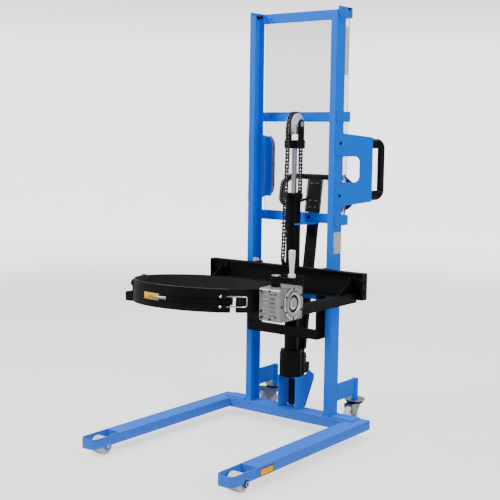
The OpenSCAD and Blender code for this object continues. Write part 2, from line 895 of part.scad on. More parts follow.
// Fluted pump body with its sump below the bracket and the pivot ears behind
module pump_body() {
    flute_pitch_r = pump_d / 2 - 4;
    block_back = plunger_y + 20;
    color(plant_black) on_mast() difference() {
        union() {
            translate([0, barrel_y, pump_stand_z]) {
                cylinder(d = pump_d, h = pump_h);
                for (i = [0:flute_count - 1]) rotate([0, 0, i * 360 / flute_count])
                    translate([flute_pitch_r, 0, 0]) cylinder(r = flute_r, h = pump_h - 14);
            }
            translate([0, sump_y, base_top + 12]) cylinder(d = sump_d, h = pump_stand_z - base_top);
            translate([-ear_x - ear_t - gap, barrel_y, pump_stand_z])
                cube([2 * (ear_x + ear_t + gap), block_back - barrel_y, block_top_z - 30 - pump_stand_z]);
            translate([pump_d / 2 - 22, barrel_y + 42, pump_stand_z])
                cylinder(d = 34, h = pump_h - 20);
            for (side = [-1, 1]) translate([side * (ear_x + gap + ear_t / 2) - ear_t / 2, 0, 0])
                extrude_x(ear_t) {
                    translate([tiller_y - 14, block_top_z - 34]) square([28, tiller_z - block_top_z + 34]);
                    translate([tiller_y, tiller_z]) circle(14);
                }
        }
        translate([0, plunger_y, pump_stand_z + 20]) cylinder(d = plunger_d + 2 * fit, h = pump_h);
        translate([0, tiller_y, tiller_z]) rod_x(-ear_x - ear_t - over, tiller_pin_d + 2 * fit, 2 * (ear_x + ear_t + over));
        translate([-ear_x - gap, tiller_y - 17, block_top_z - 30]) cube([2 * (ear_x + gap), 60, 60]);
    }
}

module lift_cylinder() {
    color(plant_black) on_mast() translate([0, barrel_y, pump_top_z]) difference() {
        cylinder(d = barrel_d, h = barrel_top_z - pump_top_z);
        translate([0, 0, 10]) cylinder(d = barrel_bore, h = barrel_top_z - pump_top_z - 10 - gland_h);
        cylinder(d = rod_d + 2 * fit, h = barrel_top_z);
    }
}

// Collar on top of the barrel with the lug that holds the end of the chain
module chain_anchor() {
    collar_top = barrel_top_z - 2;
    color(plant_black) on_mast() difference() {
        union() {
            translate([0, barrel_y, collar_top - collar_h]) cylinder(d = collar_d, h = collar_h);
            translate([-anchor_t / 2, 0, 0]) extrude_x(anchor_t) {
                translate([barrel_y, collar_top - collar_h])
                    square([pulley_r + anchor_eye_r, anchor_z - collar_top + collar_h]);
                translate([chain_rear_y, anchor_z]) circle(anchor_eye_r);
            }
        }
        translate([0, barrel_y, 0]) cylinder(d = barrel_d, h = overall_h);
        translate([0, chain_rear_y, anchor_z])
            rod_x(-anchor_t / 2 - over, chain_pin_d + 2 * fit, anchor_t + 2 * over);
    }
}

module lift_rod() {
    color("silver") on_mast() translate([0, barrel_y, rod_foot_z]) {
        cylinder(d = rod_d, h = clevis_foot_z - rod_foot_z);
        cylinder(d = barrel_bore - 2 * fit, h = piston_h);
    }
}

module clevis_head() {
    cheek_r = pulley_axle_d / 2 + 12;
    block_r = cheek_r + 7;
    color(plant_black) on_mast() translate([0, barrel_y, 0]) difference() {
        union() {
            translate([-clevis_gap - clevis_t - over, -block_r, clevis_foot_z])
                cube([2 * (clevis_gap + clevis_t + over), 2 * block_r, clevis_block_h]);
            both() translate([clevis_gap, 0, 0]) extrude_x(clevis_t) {
                translate([-cheek_r, clevis_foot_z])
                    square([2 * cheek_r, pulley_z - clevis_foot_z]);
                translate([0, pulley_z]) circle(cheek_r);
            }
        }
        translate([0, 0, pulley_z])
            rod_x(-clevis_gap - clevis_t - over, pulley_axle_d, 2 * (clevis_gap + clevis_t + over));
    }
}

module pulley_axle() {
    half_len = clevis_gap + clevis_t;
    color(zinc) on_mast() translate([0, barrel_y, pulley_z]) {
        rod_x(-half_len, pulley_axle_d, 2 * half_len);
        both() rod_x(half_len, pulley_axle_d + 8, 3);
    }
}

module chain_pulley() {
    bore = pulley_axle_d / 2 + fit;
    land = pulley_r - chain_roller_d / 2 - gap;
    body = pulley_r * cos(90 / wrap_links) - link_h / 2 - gap;
    hub_half = clevis_gap - gap;
    color("white") on_mast() translate([0, barrel_y, pulley_z]) rotate([0, 90, 0])
        rotate_extrude($fn = 96) polygon([
            [bore, -hub_half], [16, -hub_half], [16, -17], [49, -17], [49, -14], [body, -14],
            [body, -4.4], [land, -4.4], [land, 4.4], [body, 4.4],
            [body, 14], [49, 14], [49, 17], [16, 17], [16, hub_half], [bore, hub_half]
        ]);
}

// One link from its first pin along +Y: two plates, wide apart on an outer link
module link(outer) {
    x = outer ? outer_plate_x : inner_plate_x;
    both() translate([x, 0, 0]) extrude_x(link_t) {
        translate([0, -link_h / 2]) square([chain_pitch, link_h]);
        for (y = [0, chain_pitch]) translate([y, 0]) circle(d = link_h);
    }
}

module pin_and_roller() {
    rod_x(-pin_half, chain_pin_d, 2 * pin_half);
    rod_x(-inner_plate_x - roller_seat, chain_roller_d, 2 * (inner_plate_x + roller_seat));
}

// Straight run from its upper pin; the last pin sits in a lug, without a roller
module chain_run(count, first_outer) {
    difference() {
        link(first_outer == 1);
        rod_x(-pin_half - over, chain_pin_d + 2 * fit, 2 * (pin_half + over));
        rod_x(-inner_plate_x - chain_play, chain_roller_d + 2 * fit, 2 * (inner_plate_x + chain_play));
    }
    for (i = [1:count - 1]) translate([0, i * chain_pitch, 0]) link((i + first_outer) % 2 == 1);
    for (i = [1:count - 1]) translate([0, i * chain_pitch, 0]) pin_and_roller();
    translate([0, count * chain_pitch, 0]) rod_x(-pin_half, chain_pin_d, 2 * pin_half);
}

module chain_front_run() {
    color("dimgray") on_mast() translate([0, chain_front_y, pulley_z])
        rotate([-90 - run_lean, 0, 0]) chain_run(front_links, 1);
}

module chain_rear_run() {
    color("dimgray") on_mast() translate([0, chain_rear_y, pulley_z])
        rotate([-90, 0, 0]) chain_run(rear_links, 0);
}

module chain_over_pulley() {
    step = 180 / wrap_links;
    color("dimgray") on_mast() translate([0, barrel_y, pulley_z]) {
        for (i = [0:wrap_links - 1]) rotate([180 - i * step, 0, 0]) translate([0, pulley_r, 0])
            rotate([-90 - step / 2, 0, 0]) link(i % 2 == 1);
        for (i = [0:wrap_links]) rotate([180 - i * step, 0, 0]) translate([0, pulley_r, 0])
            pin_and_roller();
    }
}

module arm_bolt_spots() {
    both() for (x = [-1, 1] * arm_bolt_x, z = arm_bolt_heights)
        translate([arm_x + x, beam_back, z]) children();
}

module end_bolt_spots() {
    both() for (z = end_bolt_heights) translate([beam_w / 2 - beam_wall, -beam_gap - beam_d / 2, z])
        children();
}

module carriage_beam() {
    color(plant_black) on_mast() difference() {
        translate([-beam_w / 2, beam_front, beam_z]) difference() {
            cube([beam_w, beam_d, beam_h]);
            translate([beam_wall, -over, beam_wall])
                cube([beam_w - 2 * beam_wall, beam_d - beam_wall + over, beam_h - 2 * beam_wall]);
        }
        arm_bolt_spots() translate([0, over, 0]) rotate([90, 0, 0])
            cylinder(d = shank_d, h = beam_wall + 2 * over);
        end_bolt_spots() rod_x(-over, shank_d, beam_wall + 2 * over);
    }
}

module carriage_frame() {
    color(plant_black) on_mast() {
        both() translate([cheek_x - cheek_t, 0, 0]) extrude_x(cheek_t) difference() {
            polygon([
                [beam_front, cheek_foot_z], [cheek_back, cheek_foot_z], [cheek_back, cheek_top_z],
                [beam_back, cheek_top_z], [beam_back, beam_z], [beam_front, beam_z]
            ]);
            for (z = [upper_axle_z, lower_axle_z])
                translate([carriage_axle_y, z]) circle(d = carriage_axle_d);
        }
        translate([-cheek_x + cheek_t, beam_front, cheek_foot_z])
            cube([2 * (cheek_x - cheek_t), lower_bar_d, bar_h]);
    }
}

// Arm up to a given front face, notched so that it enters the beam
module arm(front) {
    on_mast() difference() {
        union() {
            translate([arm_x - arm_w / 2, front, arm_z]) cube([arm_w, beam_front - front, arm_w]);
            translate([arm_x - arm_w / 2, beam_front - over, beam_z + beam_wall])
                cube([arm_w, plate_front - beam_front + over, arm_z + arm_w - beam_z - beam_wall]);
            translate([arm_x - arm_plate_w / 2, plate_front, beam_z + beam_wall + over])
                cube([arm_plate_w, arm_plate_t, beam_h - 2 * beam_wall - 2 * over]);
            translate([arm_x - arm_w / 2, 0, 0]) extrude_x(arm_plate_t) polygon([
                [plate_front, arm_z + arm_w], [plate_front, arm_z + arm_w + gusset_rise],
                [plate_front - gusset_len, arm_z + arm_w]
            ]);
        }
        translate([arm_x - arm_w / 2 + arm_wall, front + arm_wall, arm_z + arm_wall])
            cube([arm_w - 2 * arm_wall, beam_front - front - 2 * arm_wall, arm_w - 2 * arm_wall]);
        for (x = [-1, 1] * arm_bolt_x, z = arm_bolt_heights)
            translate([arm_x + x, beam_back, z]) rotate([90, 0, 0])
                cylinder(d = shank_d, h = beam_wall + arm_plate_t + over);
    }
}

module left_arm() {
    color(plant_black) other_side() arm(-left_arm_reach);
}

module right_arm() {
    color(plant_black) {
        arm(gear_back + mount_t);
        on_mast() translate([gear_x, gear_back, gear_z]) cube([gear_w, mount_t, gear_h + 37]);
    }
}

module beam_bolts() {
    color(zinc) on_mast() {
        arm_bolt_spots() rotate([90, 0, 0]) {
            cylinder(d = shank_d, h = beam_wall + arm_plate_t);
            translate([0, 0, beam_wall + arm_plate_t]) cylinder(d = head_d, h = head_h);
        }
        end_bolt_spots() bolt_x(beam_wall);
    }
}

module on_axle(z) {
    on_mast() translate([0, carriage_axle_y, z]) children();
}

module roller_axles() {
    inner_end = cheek_x - cheek_t - 5;
    color(plant_black) for (z = [upper_axle_z, lower_axle_z]) on_axle(z) both() {
        rod_x(inner_end, carriage_axle_d, roller_x + carriage_roller_w + 0.5 - inner_end);
        rod_x(cheek_x, carriage_axle_d + 10, roller_x - cheek_x - gap);
    }
}

module carriage_roller(z) {
    color("ivory") on_axle(z) translate([roller_x + carriage_roller_w / 2, 0, 0])
        wheel(carriage_roller_d, carriage_roller_w, carriage_axle_d + 2 * fit, 1.5);
}

module upper_right_roller() {
    carriage_roller(upper_axle_z);
}

module lower_right_roller() {
    carriage_roller(lower_axle_z);
}

module upper_left_roller() {
    other_side() carriage_roller(upper_axle_z);
}

module lower_left_roller() {
    other_side() carriage_roller(lower_axle_z);
}

module chain_lug() {
    eye_r = chain_pin_d / 2 + 6.5;
    color(plant_black) on_mast() translate([-anchor_t / 2, 0, 0]) extrude_x(anchor_t) difference() {
        union() {
            polygon([
                [beam_front, beam_top_z], [beam_front + 30, beam_top_z],
                [eye_r - lug_y, lug_z], [-eye_r - lug_y, lug_z]
            ]);
            translate([-lug_y, lug_z]) circle(eye_r);
        }
        translate([-lug_y, lug_z]) circle(d = chain_pin_d + 2 * fit);
    }
}

// Places children with their X axis on the axis of the ring
module on_shaft() {
    on_mast() translate([0, -ring_y, ring_z]) children();
}

module gearbox_housing() {
    hollow = [gear_w - 2 * gear_wall, gear_len - 2 * gear_wall, gear_h - 2 * gear_wall];
    color(cast_grey) difference() {
        union() {
            on_mast() translate([gear_x, gear_front, gear_z]) extrude_x(gear_w)
                round_rect([gear_len, gear_h], 10);
            on_shaft() rod_x(gear_x - adaptor_t, 90, adaptor_t + over);
            on_mast() translate([worm_x, worm_y, gear_top - over]) cylinder(d = 48, h = 6 + over);
        }
        on_mast() translate([gear_x + gear_wall, gear_front + gear_wall, gear_z + gear_wall])
            cube(hollow);
        on_shaft() rod_x(gear_x - adaptor_t - over, shaft_d + 2 * fit, gear_w + adaptor_t + 2 * over);
        on_mast() translate([worm_x, worm_y, gear_top - gear_wall - over])
            cylinder(d = worm_shaft_d + 2 * fit, h = gear_wall + 8);
        on_mast() for (z = [gear_z + 20, gear_top - 20], x = [gear_x + 18, gear_x + gear_w - 18])
            translate([x, gear_front - over, z]) rotate([-90, 0, 0]) cylinder(d = head_d, h = 5);
    }
}

module gearbox_cover() {
    color(cast_grey) on_shaft() translate([gear_x + gear_w, 0, 0]) difference() {
        union() {
            rod_x(0, cover_d, gear_cover_t - 3);
            rod_x(0, 78, gear_cover_t);
            for (i = [0:5]) rotate([i * 60 + 30, 0, 0]) translate([0, cover_d / 2 - 12, 0])
                rod_x(0, head_d, gear_cover_t);
        }
        translate([gear_cover_t - 2, 0, 0]) rod_x(0, 60, 3);
    }
}

module left_bearing() {
    half_len = 38;
    block_out = arm_x + arm_w / 2;
    color(plant_black) other_side() difference() {
        union() {
            on_mast() translate([arm_x - arm_w / 2, -ring_y - half_len, arm_z + arm_w])
                cube([arm_w, 2 * half_len, bearing_h]);
            on_shaft() rod_x(block_out - over, shaft_d + 9, collar_x - block_out + over - gap);
        }
        on_shaft() rod_x(0, shaft_d + 2 * fit, 2 * collar_x);
    }
}

// Places children in the plane of the ring, Z along its normal
module on_ring() {
    on_shaft() rotate([-ring_tilt, 0, 0]) children();
}

// Band from one angle to another between two radii, centred in height
module sector(from, to, inner, outer, low, high) {
    rotate([0, 0, from]) rotate_extrude(angle = to - from, $fn = 96)
        translate([inner, low]) square([outer - inner, high - low]);
}

module knuckle(low, high, side) {
    rotate([0, 0, hinge_angle]) difference() {
        union() {
            translate([hinge_r, 0, low]) cylinder(r = knuckle_r, h = high - low);
            translate([ring_r - band_t / 2, side < 0 ? -knuckle_r : 0, low])
                cube([hinge_r - ring_r + band_t / 2, knuckle_r, high - low]);
        }
        translate([hinge_r, 0, low - over])
            cylinder(d = hinge_pin_d + (side < 0 ? 0 : 2 * fit), h = high - low + 2 * over);
    }
}

module ring_frame() {
    color("#26262a") {
        on_ring() {
            sector(frame_end, 360 + hinge_angle - hinge_half, ring_r - band_t, ring_r,
                -ring_h / 2, ring_h / 2);
            knuckle(ring_h / 2 - knuckle_h, ring_h / 2, -1);
            knuckle(-ring_h / 2, knuckle_h - ring_h / 2, -1);
            sector(frame_end + 0.25, frame_end + 4, ring_r - over, bolt_r - latch_rod_d / 2 - 1.5,
                -catch_half_h, catch_half_h);
        }
        on_shaft() {
            both() rod_x(ring_r - band_t + 1, 60, band_t - 1 + boss_reach);
            rod_x(ring_r, shaft_d, gear_x + gear_w - 4 - ring_r);
            rod_x(-left_reach, shaft_d, left_reach - ring_r);
            rod_x(-left_reach, shaft_d + 9, left_reach - collar_x);
        }
    }
}

module lining(from, to) {
    sector(from, to, ring_r - band_t - lining_t, ring_r - band_t,
        4 - ring_h / 2, ring_h / 2 - 4);
}

module ring_lining() {
    color("black") on_ring() lining(frame_end, 360 + hinge_angle - hinge_half);
}

module worm_wheel() {
    tip_r = gear_centres - worm_d / 2 - 0.5;
    color("darkgoldenrod") on_shaft() translate([worm_x - worm_wheel_w / 2, 0, 0])
        extrude_x(worm_wheel_w) difference() {
            union() {
                circle(tip_r - 4);
                for (i = [0:gear_teeth - 1]) rotate(i * 360 / gear_teeth)
                    translate([tip_r - 5, -1.6]) square([5, 3.2]);
            }
            circle(d = shaft_d);
        }
}

// Point in the plane of the ring
function polar(r, a) = [r * cos(a), r * sin(a)];

module lever_ear(low, high) {
    translate([0, 0, low]) linear_extrude(high - low) difference() {
        union() {
            translate(polar(lever_pin_r, lever_pin_angle)) circle(9);
            rotate(lever_pin_angle) translate([ring_r - band_t / 2, -9])
                square([lever_pin_r - ring_r + band_t / 2, 18]);
        }
        translate(polar(lever_pin_r, lever_pin_angle)) circle(d = latch_pin_d + 2 * fit);
    }
}

module ring_door() {
    color("#26262a") on_ring() {
        sector(hinge_angle + hinge_half, door_end, ring_r - band_t, ring_r, -ring_h / 2, ring_h / 2);
        knuckle(knuckle_h - ring_h / 2 + gap, ring_h / 2 - knuckle_h - gap, 1);
        lever_ear(hub_half_h + gap, hub_half_h + 5);
        lever_ear(-hub_half_h - 5, -hub_half_h - gap);
        sector(door_end - 4.5, bolt_end_angle + 2, ring_r + 0.5, ring_r + 4.5, 24, ring_h / 2);
        sector(door_end - 4.5, door_end - 1, ring_r - 1, ring_r + 1, 24, ring_h / 2);
    }
}

module door_lining() {
    color("black") on_ring() lining(hinge_angle + hinge_half, door_end);
}

module hinge_pin() {
    color(zinc) on_ring() translate(polar(hinge_r, hinge_angle)) {
        translate([0, 0, -ring_h / 2]) cylinder(d = hinge_pin_d, h = ring_h);
        translate([0, 0, ring_h / 2]) cylinder(d = hinge_pin_d + 6, h = 4);
    }
}

module latch_lever() {
    p1 = polar(lever_pin_r, lever_pin_angle);
    p2 = polar(bolt_pin_r, bolt_pin_angle);
    color(zinc) on_ring() {
        translate([p1[0], p1[1], -hub_half_h]) cylinder(r = 9, h = 2 * hub_half_h);
        translate([p1[0], p1[1], -hub_half_h - 5])
            cylinder(d = latch_pin_d, h = 2 * hub_half_h + 10);
        translate([p2[0], p2[1], -hub_half_h]) cylinder(r = 9, h = lever_h);
        translate([p2[0], p2[1], -bolt_half_h - 10])
            cylinder(d = latch_pin_d, h = 2 * bolt_half_h + 20);
        translate([p1[0], p1[1], -hub_half_h])
            rotate([0, 0, atan2(p2[1] - p1[1], p2[0] - p1[0])])
                translate([0, -6, 0]) cube([norm(p2 - p1), 12, lever_h]);
        sector(lever_tip_angle, bolt_pin_angle, ring_r + 6, ring_r + 14, -hub_half_h,
            lever_h - hub_half_h);
    }
}

// Two blocks on the lever's upright pin, their rods and the bar across the ends
module latch_bolt() {
    p2 = polar(bolt_pin_r, bolt_pin_angle);
    far_end = polar(bolt_r, bolt_end_angle);
    near_end = polar(bolt_r, bolt_pin_angle - 2);
    color(zinc) on_ring() {
        for (side = [0, 1]) mirror([0, 0, side]) {
            difference() {
                translate([p2[0], p2[1], bolt_half_h - 8]) rotate([0, 0, bolt_pin_angle])
                    translate([-11, -9, 0]) cube([28, 18, 16]);
                translate([p2[0], p2[1], 0]) cylinder(d = latch_pin_d + 2 * fit, h = 2 * ring_h);
            }
            rod([near_end[0], near_end[1], bolt_half_h], [far_end[0], far_end[1], bolt_half_h],
                latch_rod_d);
        }
        translate([far_end[0], far_end[1], -bolt_half_h - latch_rod_d / 2])
            cylinder(d = latch_rod_d, h = 2 * bolt_half_h + latch_rod_d);
    }
}

module on_crank() {
    on_mast() translate([worm_x, worm_y, 0]) rotate([0, 0, crank_turn]) children();
}

module crank_handle() {
    color(plant_black) on_crank() {
        translate([0, 0, gear_z + 36]) cylinder(d = worm_d, h = 64);
        translate([0, 0, gear_z + 13]) cylinder(d = worm_shaft_d, h = hub_z - gear_z - 13 + over);
        translate([0, 0, hub_z]) cylinder(d = hub_d, h = hub_h);
        translate([0, -crank_bar_w / 2, crank_z]) cube([crank_r, crank_bar_w, crank_t]);
        translate([crank_r, 0, crank_z]) cylinder(d = crank_bar_w, h = crank_t);
        translate([crank_r, 0, crank_z]) cylinder(d = spindle_d, h = crank_grip_h + 6);
    }
}

module crank_grip() {
    bore = spindle_d / 2 + fit;
    color("white") on_crank() translate([crank_r, 0, grip_base_z]) rotate_extrude() polygon([
        [bore, 0], [grip_collar_r, 0], [grip_collar_r, 12], [grip_collar_r - 1.5, 14], [12, crank_grip_h - 6], [8, crank_grip_h],
        [6, crank_grip_h], [6, crank_grip_h - 12], [bore, crank_grip_h - 12]
    ]);
}

// Places children in the frame of the tiller, its pivot at the origin
module on_tiller() {
    on_mast() translate([0, tiller_y, tiller_z]) rotate([-tiller_lean, 0, 0]) children();
}

module tiller_column() {
    nose = [nose_y * cos(tiller_lean) - nose_drop * sin(-tiller_lean),
        -nose_y * sin(-tiller_lean) - nose_drop * cos(tiller_lean)];
    color(plant_black) on_tiller() {
        rod_x(-ear_x, 30, 2 * ear_x);
        rod_x(-ear_x - ear_t, tiller_pin_d, 2 * (ear_x + ear_t));
        translate([-column_w / 2, -column_d / 2, 30])
            hollow_box([column_w, column_d, column_top - 30], column_wall, "none");
        translate([-ear_x, -column_d / 2, 0]) cube([2 * ear_x, column_d, 31]);
        translate([0, nose[0], nose[1]]) rod_x(-ear_x / 2, 20, ear_x);
        translate([-ear_x / 2, 0, nose[1]]) cube([ear_x, nose[0], 10]);
        translate([-panel_w / 2, -column_d / 2 - panel_t, panel_foot])
            cube([panel_w, panel_t, panel_h]);
    }
}

module tiller_handle() {
    path = [
        [-32, 0, loop_foot], [-loop_half_w, 0, loop_waist], [-loop_half_w, 0, loop_shoulder],
        [-loop_top_x, 0, loop_top], [loop_top_x, 0, loop_top], [loop_half_w, 0, loop_shoulder],
        [loop_half_w, 0, loop_waist], [32, 0, loop_foot]
    ];
    color(plant_black) on_tiller() difference() {
        union() {
            for (i = [0:len(path) - 2]) rod(path[i], path[i + 1], loop_d);
            for (i = [1:len(path) - 2]) translate(path[i]) sphere(d = loop_d + 1);
        }
        translate([-column_w / 2, -column_d / 2, 30]) cube([column_w, column_d, column_top - 30]);
        translate([-panel_w / 2, -column_d / 2 - panel_t - 20, panel_foot])
            cube([panel_w, panel_t + 20, panel_h]);
    }
}

module release_lever() {
    color(zinc) on_tiller() translate([lever_pivot[0], lever_pivot[1] - gap, lever_pivot[2]])
        rotate([90, 0, 0]) {
            cylinder(d = 16, h = 6);
            rotate([0, 0, 200]) translate([0, -6, 0]) cube([80, 12, 6]);
            rotate([0, 0, 200]) translate([86, 0, 0]) cylinder(d = 22, h = 6);
        }
}

module pump_plunger() {
    foot = pump_stand_z + 42;
    color("silver") on_mast() translate([0, plunger_y, foot])
        cylinder(d = plunger_d, h = tiller_z - nose_drop - 11 - foot);
}

base_crossbeam();
left_leg();
right_leg();
roller_forks();
front_axles();
left_front_roller();
right_front_roller();
left_mast();
right_mast();
cross_straps();
cylinder_saddle();
safety_screen();
frame_bolts();
handle_brackets();
handle_grips();
caster_arms();
left_caster_fork();
right_caster_fork();
left_caster_wheel();
right_caster_wheel();
brake_pedal();
pump_bracket();
pump_body();
lift_cylinder();
chain_anchor();
lift_rod();
clevis_head();
pulley_axle();
chain_pulley();
chain_front_run();
chain_over_pulley();
chain_rear_run();
carriage_beam();
carriage_frame();
left_arm();
right_arm();
beam_bolts();
roller_axles();
upper_left_roller();
upper_right_roller();
lower_left_roller();
lower_right_roller();
chain_lug();
gearbox_housing();
gearbox_cover();
left_bearing();
ring_frame();
ring_lining();
worm_wheel();
ring_door();
door_lining();
hinge_pin();
latch_lever();
latch_bolt();
crank_handle();
crank_grip();
tiller_column();
tiller_handle();
release_lever();
pump_plunger();
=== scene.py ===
import bpy
import json
import math
import numpy as np
from mathutils import Matrix, Vector


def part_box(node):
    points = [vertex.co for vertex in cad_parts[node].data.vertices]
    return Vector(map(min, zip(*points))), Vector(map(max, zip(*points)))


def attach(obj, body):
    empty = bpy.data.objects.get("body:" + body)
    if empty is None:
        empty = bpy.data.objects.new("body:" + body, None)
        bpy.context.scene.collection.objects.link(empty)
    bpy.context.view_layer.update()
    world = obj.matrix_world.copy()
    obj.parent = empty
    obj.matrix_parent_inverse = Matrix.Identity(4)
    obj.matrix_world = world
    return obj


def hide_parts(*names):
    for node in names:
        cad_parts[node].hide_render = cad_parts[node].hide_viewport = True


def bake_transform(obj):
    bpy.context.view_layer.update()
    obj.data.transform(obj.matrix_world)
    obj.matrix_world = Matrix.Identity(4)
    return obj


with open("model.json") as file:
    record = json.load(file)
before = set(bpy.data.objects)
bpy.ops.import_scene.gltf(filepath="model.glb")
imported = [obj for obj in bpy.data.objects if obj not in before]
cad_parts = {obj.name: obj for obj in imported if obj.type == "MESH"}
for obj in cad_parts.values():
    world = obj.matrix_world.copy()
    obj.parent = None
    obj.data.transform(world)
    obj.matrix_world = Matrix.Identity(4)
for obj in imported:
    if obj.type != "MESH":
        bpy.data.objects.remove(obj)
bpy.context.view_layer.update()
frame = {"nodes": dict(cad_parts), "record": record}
nodes = frame["nodes"]
print("frame loaded")

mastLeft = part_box("left_mast")
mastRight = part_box("right_mast")
midX = (mastLeft[0].x + mastRight[1].x) / 2
frontY = mastRight[0].y                 # front face of the masts
shaft = {"y": -594, "z": 715}           # shaft of the clamp ring and its gearbox, mm
alongX, alongY, alongZ = (1, 0, 0), (0, 1, 0), (0, 0, 1)


def spot(x, y, z):          # millimetres from the masts' front face to metres in the frame
    return np.array([midX + x / 1000, frontY + y / 1000, z / 1000])


# ---- mesh tools ----

def makePiece(name, points, faces, smooth=True):
    mesh = bpy.data.meshes.new(name)
    mesh.from_pydata(points.tolist(), [], faces)
    mesh.polygons.foreach_set("use_smooth", [smooth] * len(mesh.polygons))
    mesh.update()
    piece = bpy.data.objects.new(name, mesh)
    bpy.context.scene.collection.objects.link(piece)
    return piece


# A grid of points in two parameters becomes quads; closeU and closeV join its ends, capU covers its end rows
def gridPiece(name, points, closeU=False, closeV=False, capU=False, flip=False, smooth=True):
    rows, cols = points.shape[:2]
    ids = np.arange(rows * cols).reshape(rows, cols)
    u = ids if not closeU else np.vstack([ids, ids[:1]])
    u = u if not closeV else np.hstack([u, u[:, :1]])
    quads = np.stack([u[:-1, :-1], u[:-1, 1:], u[1:, 1:], u[1:, :-1]], axis=-1).reshape(-1, 4)
    if flip:
        quads = quads[:, ::-1]
    faces = quads.tolist()
    if capU:
        first, last = ids[0].tolist(), ids[-1][::-1].tolist()
        faces += [first[::-1], last[::-1]] if flip else [first, last]
    return makePiece(name, points.reshape(-1, 3), faces, smooth)


# Several pieces as one: their points are stacked and their faces' numbers shifted
def joinPieces(name, pieces):
    points, faces, shift = [], [], 0
    for piece in pieces:
        mesh = piece.data
        places = np.empty(len(mesh.vertices) * 3)
        corners = np.empty(len(mesh.loops), np.int32)
        starts = np.empty(len(mesh.polygons), np.int32)
        mesh.vertices.foreach_get("co", places)
        mesh.loops.foreach_get("vertex_index", corners)
        mesh.polygons.foreach_get("loop_start", starts)
        points.append(places.reshape(-1, 3))
        faces += [face.tolist() for face in np.split(corners + shift, starts[1:])]
        shift += len(mesh.vertices)
        bpy.data.objects.remove(piece)
    return makePiece(name, np.vstack(points), faces)


# Round section carried along a path: point + r (n cos v + squash b sin v), n and b across the tangent
def tube(name, path, radius, sides=24, squash=1.0, side=alongZ):
    path = np.asarray(path, float)
    tangent = np.gradient(path, axis=0)
    tangent /= np.linalg.norm(tangent, axis=1)[:, None]
    across = np.cross(tangent, np.asarray(side, float))
    across /= np.linalg.norm(across, axis=1)[:, None]
    other = np.cross(across, tangent)
    v = np.linspace(0, 2 * np.pi, sides, endpoint=False)[:, None]
    radius = np.broadcast_to(radius, (len(path),))[:, None, None]
    squash = np.broadcast_to(squash, (len(path),))[:, None, None]
    ring = across[:, None] * np.cos(v) + other[:, None] * np.sin(v) * squash
    return gridPiece(name, path[:, None] + radius * ring, closeV=True, capU=True)


# Straight stretches joined by arcs of a given radius, as one list of points
def roundedPath(corners, radius, steps=10):
    corners = np.asarray(corners, float)
    out = [corners[:1]]
    for before, here, after in zip(corners[:-2], corners[1:-1], corners[2:]):
        a = (before - here) / np.linalg.norm(before - here)
        b = (after - here) / np.linalg.norm(after - here)
        half = math.acos(np.clip(np.dot(a, b), -1, 1)) / 2
        back = radius / math.tan(half)
        centre = here + (a + b) / np.linalg.norm(a + b) * radius / math.sin(half)
        start, end = here + a * back - centre, here + b * back - centre
        turn = math.acos(np.clip(np.dot(start, end) / radius ** 2, -1, 1))
        t = np.linspace(0, 1, steps)[:, None]
        out.append(centre + (np.sin((1 - t) * turn) * start + np.sin(t * turn) * end) / math.sin(turn))
    out.append(corners[-1:])
    return np.vstack(out)


# A profile of (radius, height) pairs turned about an axis: centre + r (e1 cos v + e2 sin v) + h axis.
# Rows named in flatRows get a many-sided outline: r cos(pi / n) / cos(v modulo 2 pi / n, less pi / n)
def lathe(name, profile, centre, axis, segments=96, flats=0, flatRows=()):
    profile = np.asarray(profile, float) / 1000
    axis = np.asarray(axis, float) / np.linalg.norm(axis)
    e1 = np.cross(axis, (0.31, 0.52, 0.79))         # any direction that no axis here shares
    e1 /= np.linalg.norm(e1)
    e2 = np.cross(axis, e1)
    v = np.linspace(0, 2 * np.pi, segments, endpoint=False)
    circle = e1 * np.cos(v)[:, None] + e2 * np.sin(v)[:, None]
    radii = np.repeat(profile[:, :1], segments, axis=1)
    if flats:
        facet = np.mod(v, 2 * np.pi / flats) - np.pi / flats
        radii[list(flatRows)] *= math.cos(math.pi / flats) / np.cos(facet)
    points = centre + radii[:, :, None] * circle[None] + profile[:, 1][:, None, None] * axis
    return gridPiece(name, points, closeV=True, closeU=True, flip=True)


# Flat slab with rounded corners: a rounded rectangle swept through its thickness, drawn in at both faces
def slab(name, centre, across, up, width, height, thick, corner=2.0, arc=8, drawnIn=0.985):
    across, up = np.asarray(across, float), np.asarray(up, float)
    normal = np.cross(across, up)
    v = np.linspace(0, np.pi / 2, arc)
    corners = []
    for k, (sx, sy) in enumerate([(1, 1), (-1, 1), (-1, -1), (1, -1)]):
        a = v + k * np.pi / 2
        corners.append(np.stack([sx * (width / 2 - corner) + corner * np.cos(a),
                                 sy * (height / 2 - corner) + corner * np.sin(a)], axis=1))
    outline = np.vstack(corners) / 1000
    flat = outline[:, :1] * across + outline[:, 1:] * up
    share = np.array([drawnIn, 1, 1, drawnIn])[:, None, None]
    rise = np.array([0, thick * 0.25, thick * 0.75, thick])[:, None, None] / 1000
    points = centre + share * flat[None] + rise * normal
    return gridPiece(name, points, closeV=True, capU=True, flip=True, smooth=False)


def finishPiece(piece, body, material, replaced=()):
    piece.data.materials.clear()
    piece.data.materials.append(material)
    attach(piece, body)
    if replaced:
        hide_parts(*replaced)


# ---- shader groups ----

def newGroup(name, label, value, output):       # a vector and one value in, one value out
    group = bpy.data.node_groups.new(name, "ShaderNodeTree")
    group.interface.new_socket(name="Vector", in_out="INPUT", socket_type="NodeSocketVector")
    group.interface.new_socket(name=label, in_out="INPUT", socket_type="NodeSocketFloat").default_value = value
    group.interface.new_socket(name=output, in_out="OUTPUT", socket_type="NodeSocketFloat")
    return group, group.nodes.new("NodeGroupInput"), group.nodes.new("NodeGroupOutput")


def link(tree, a, b):
    tree.links.new(a, b)


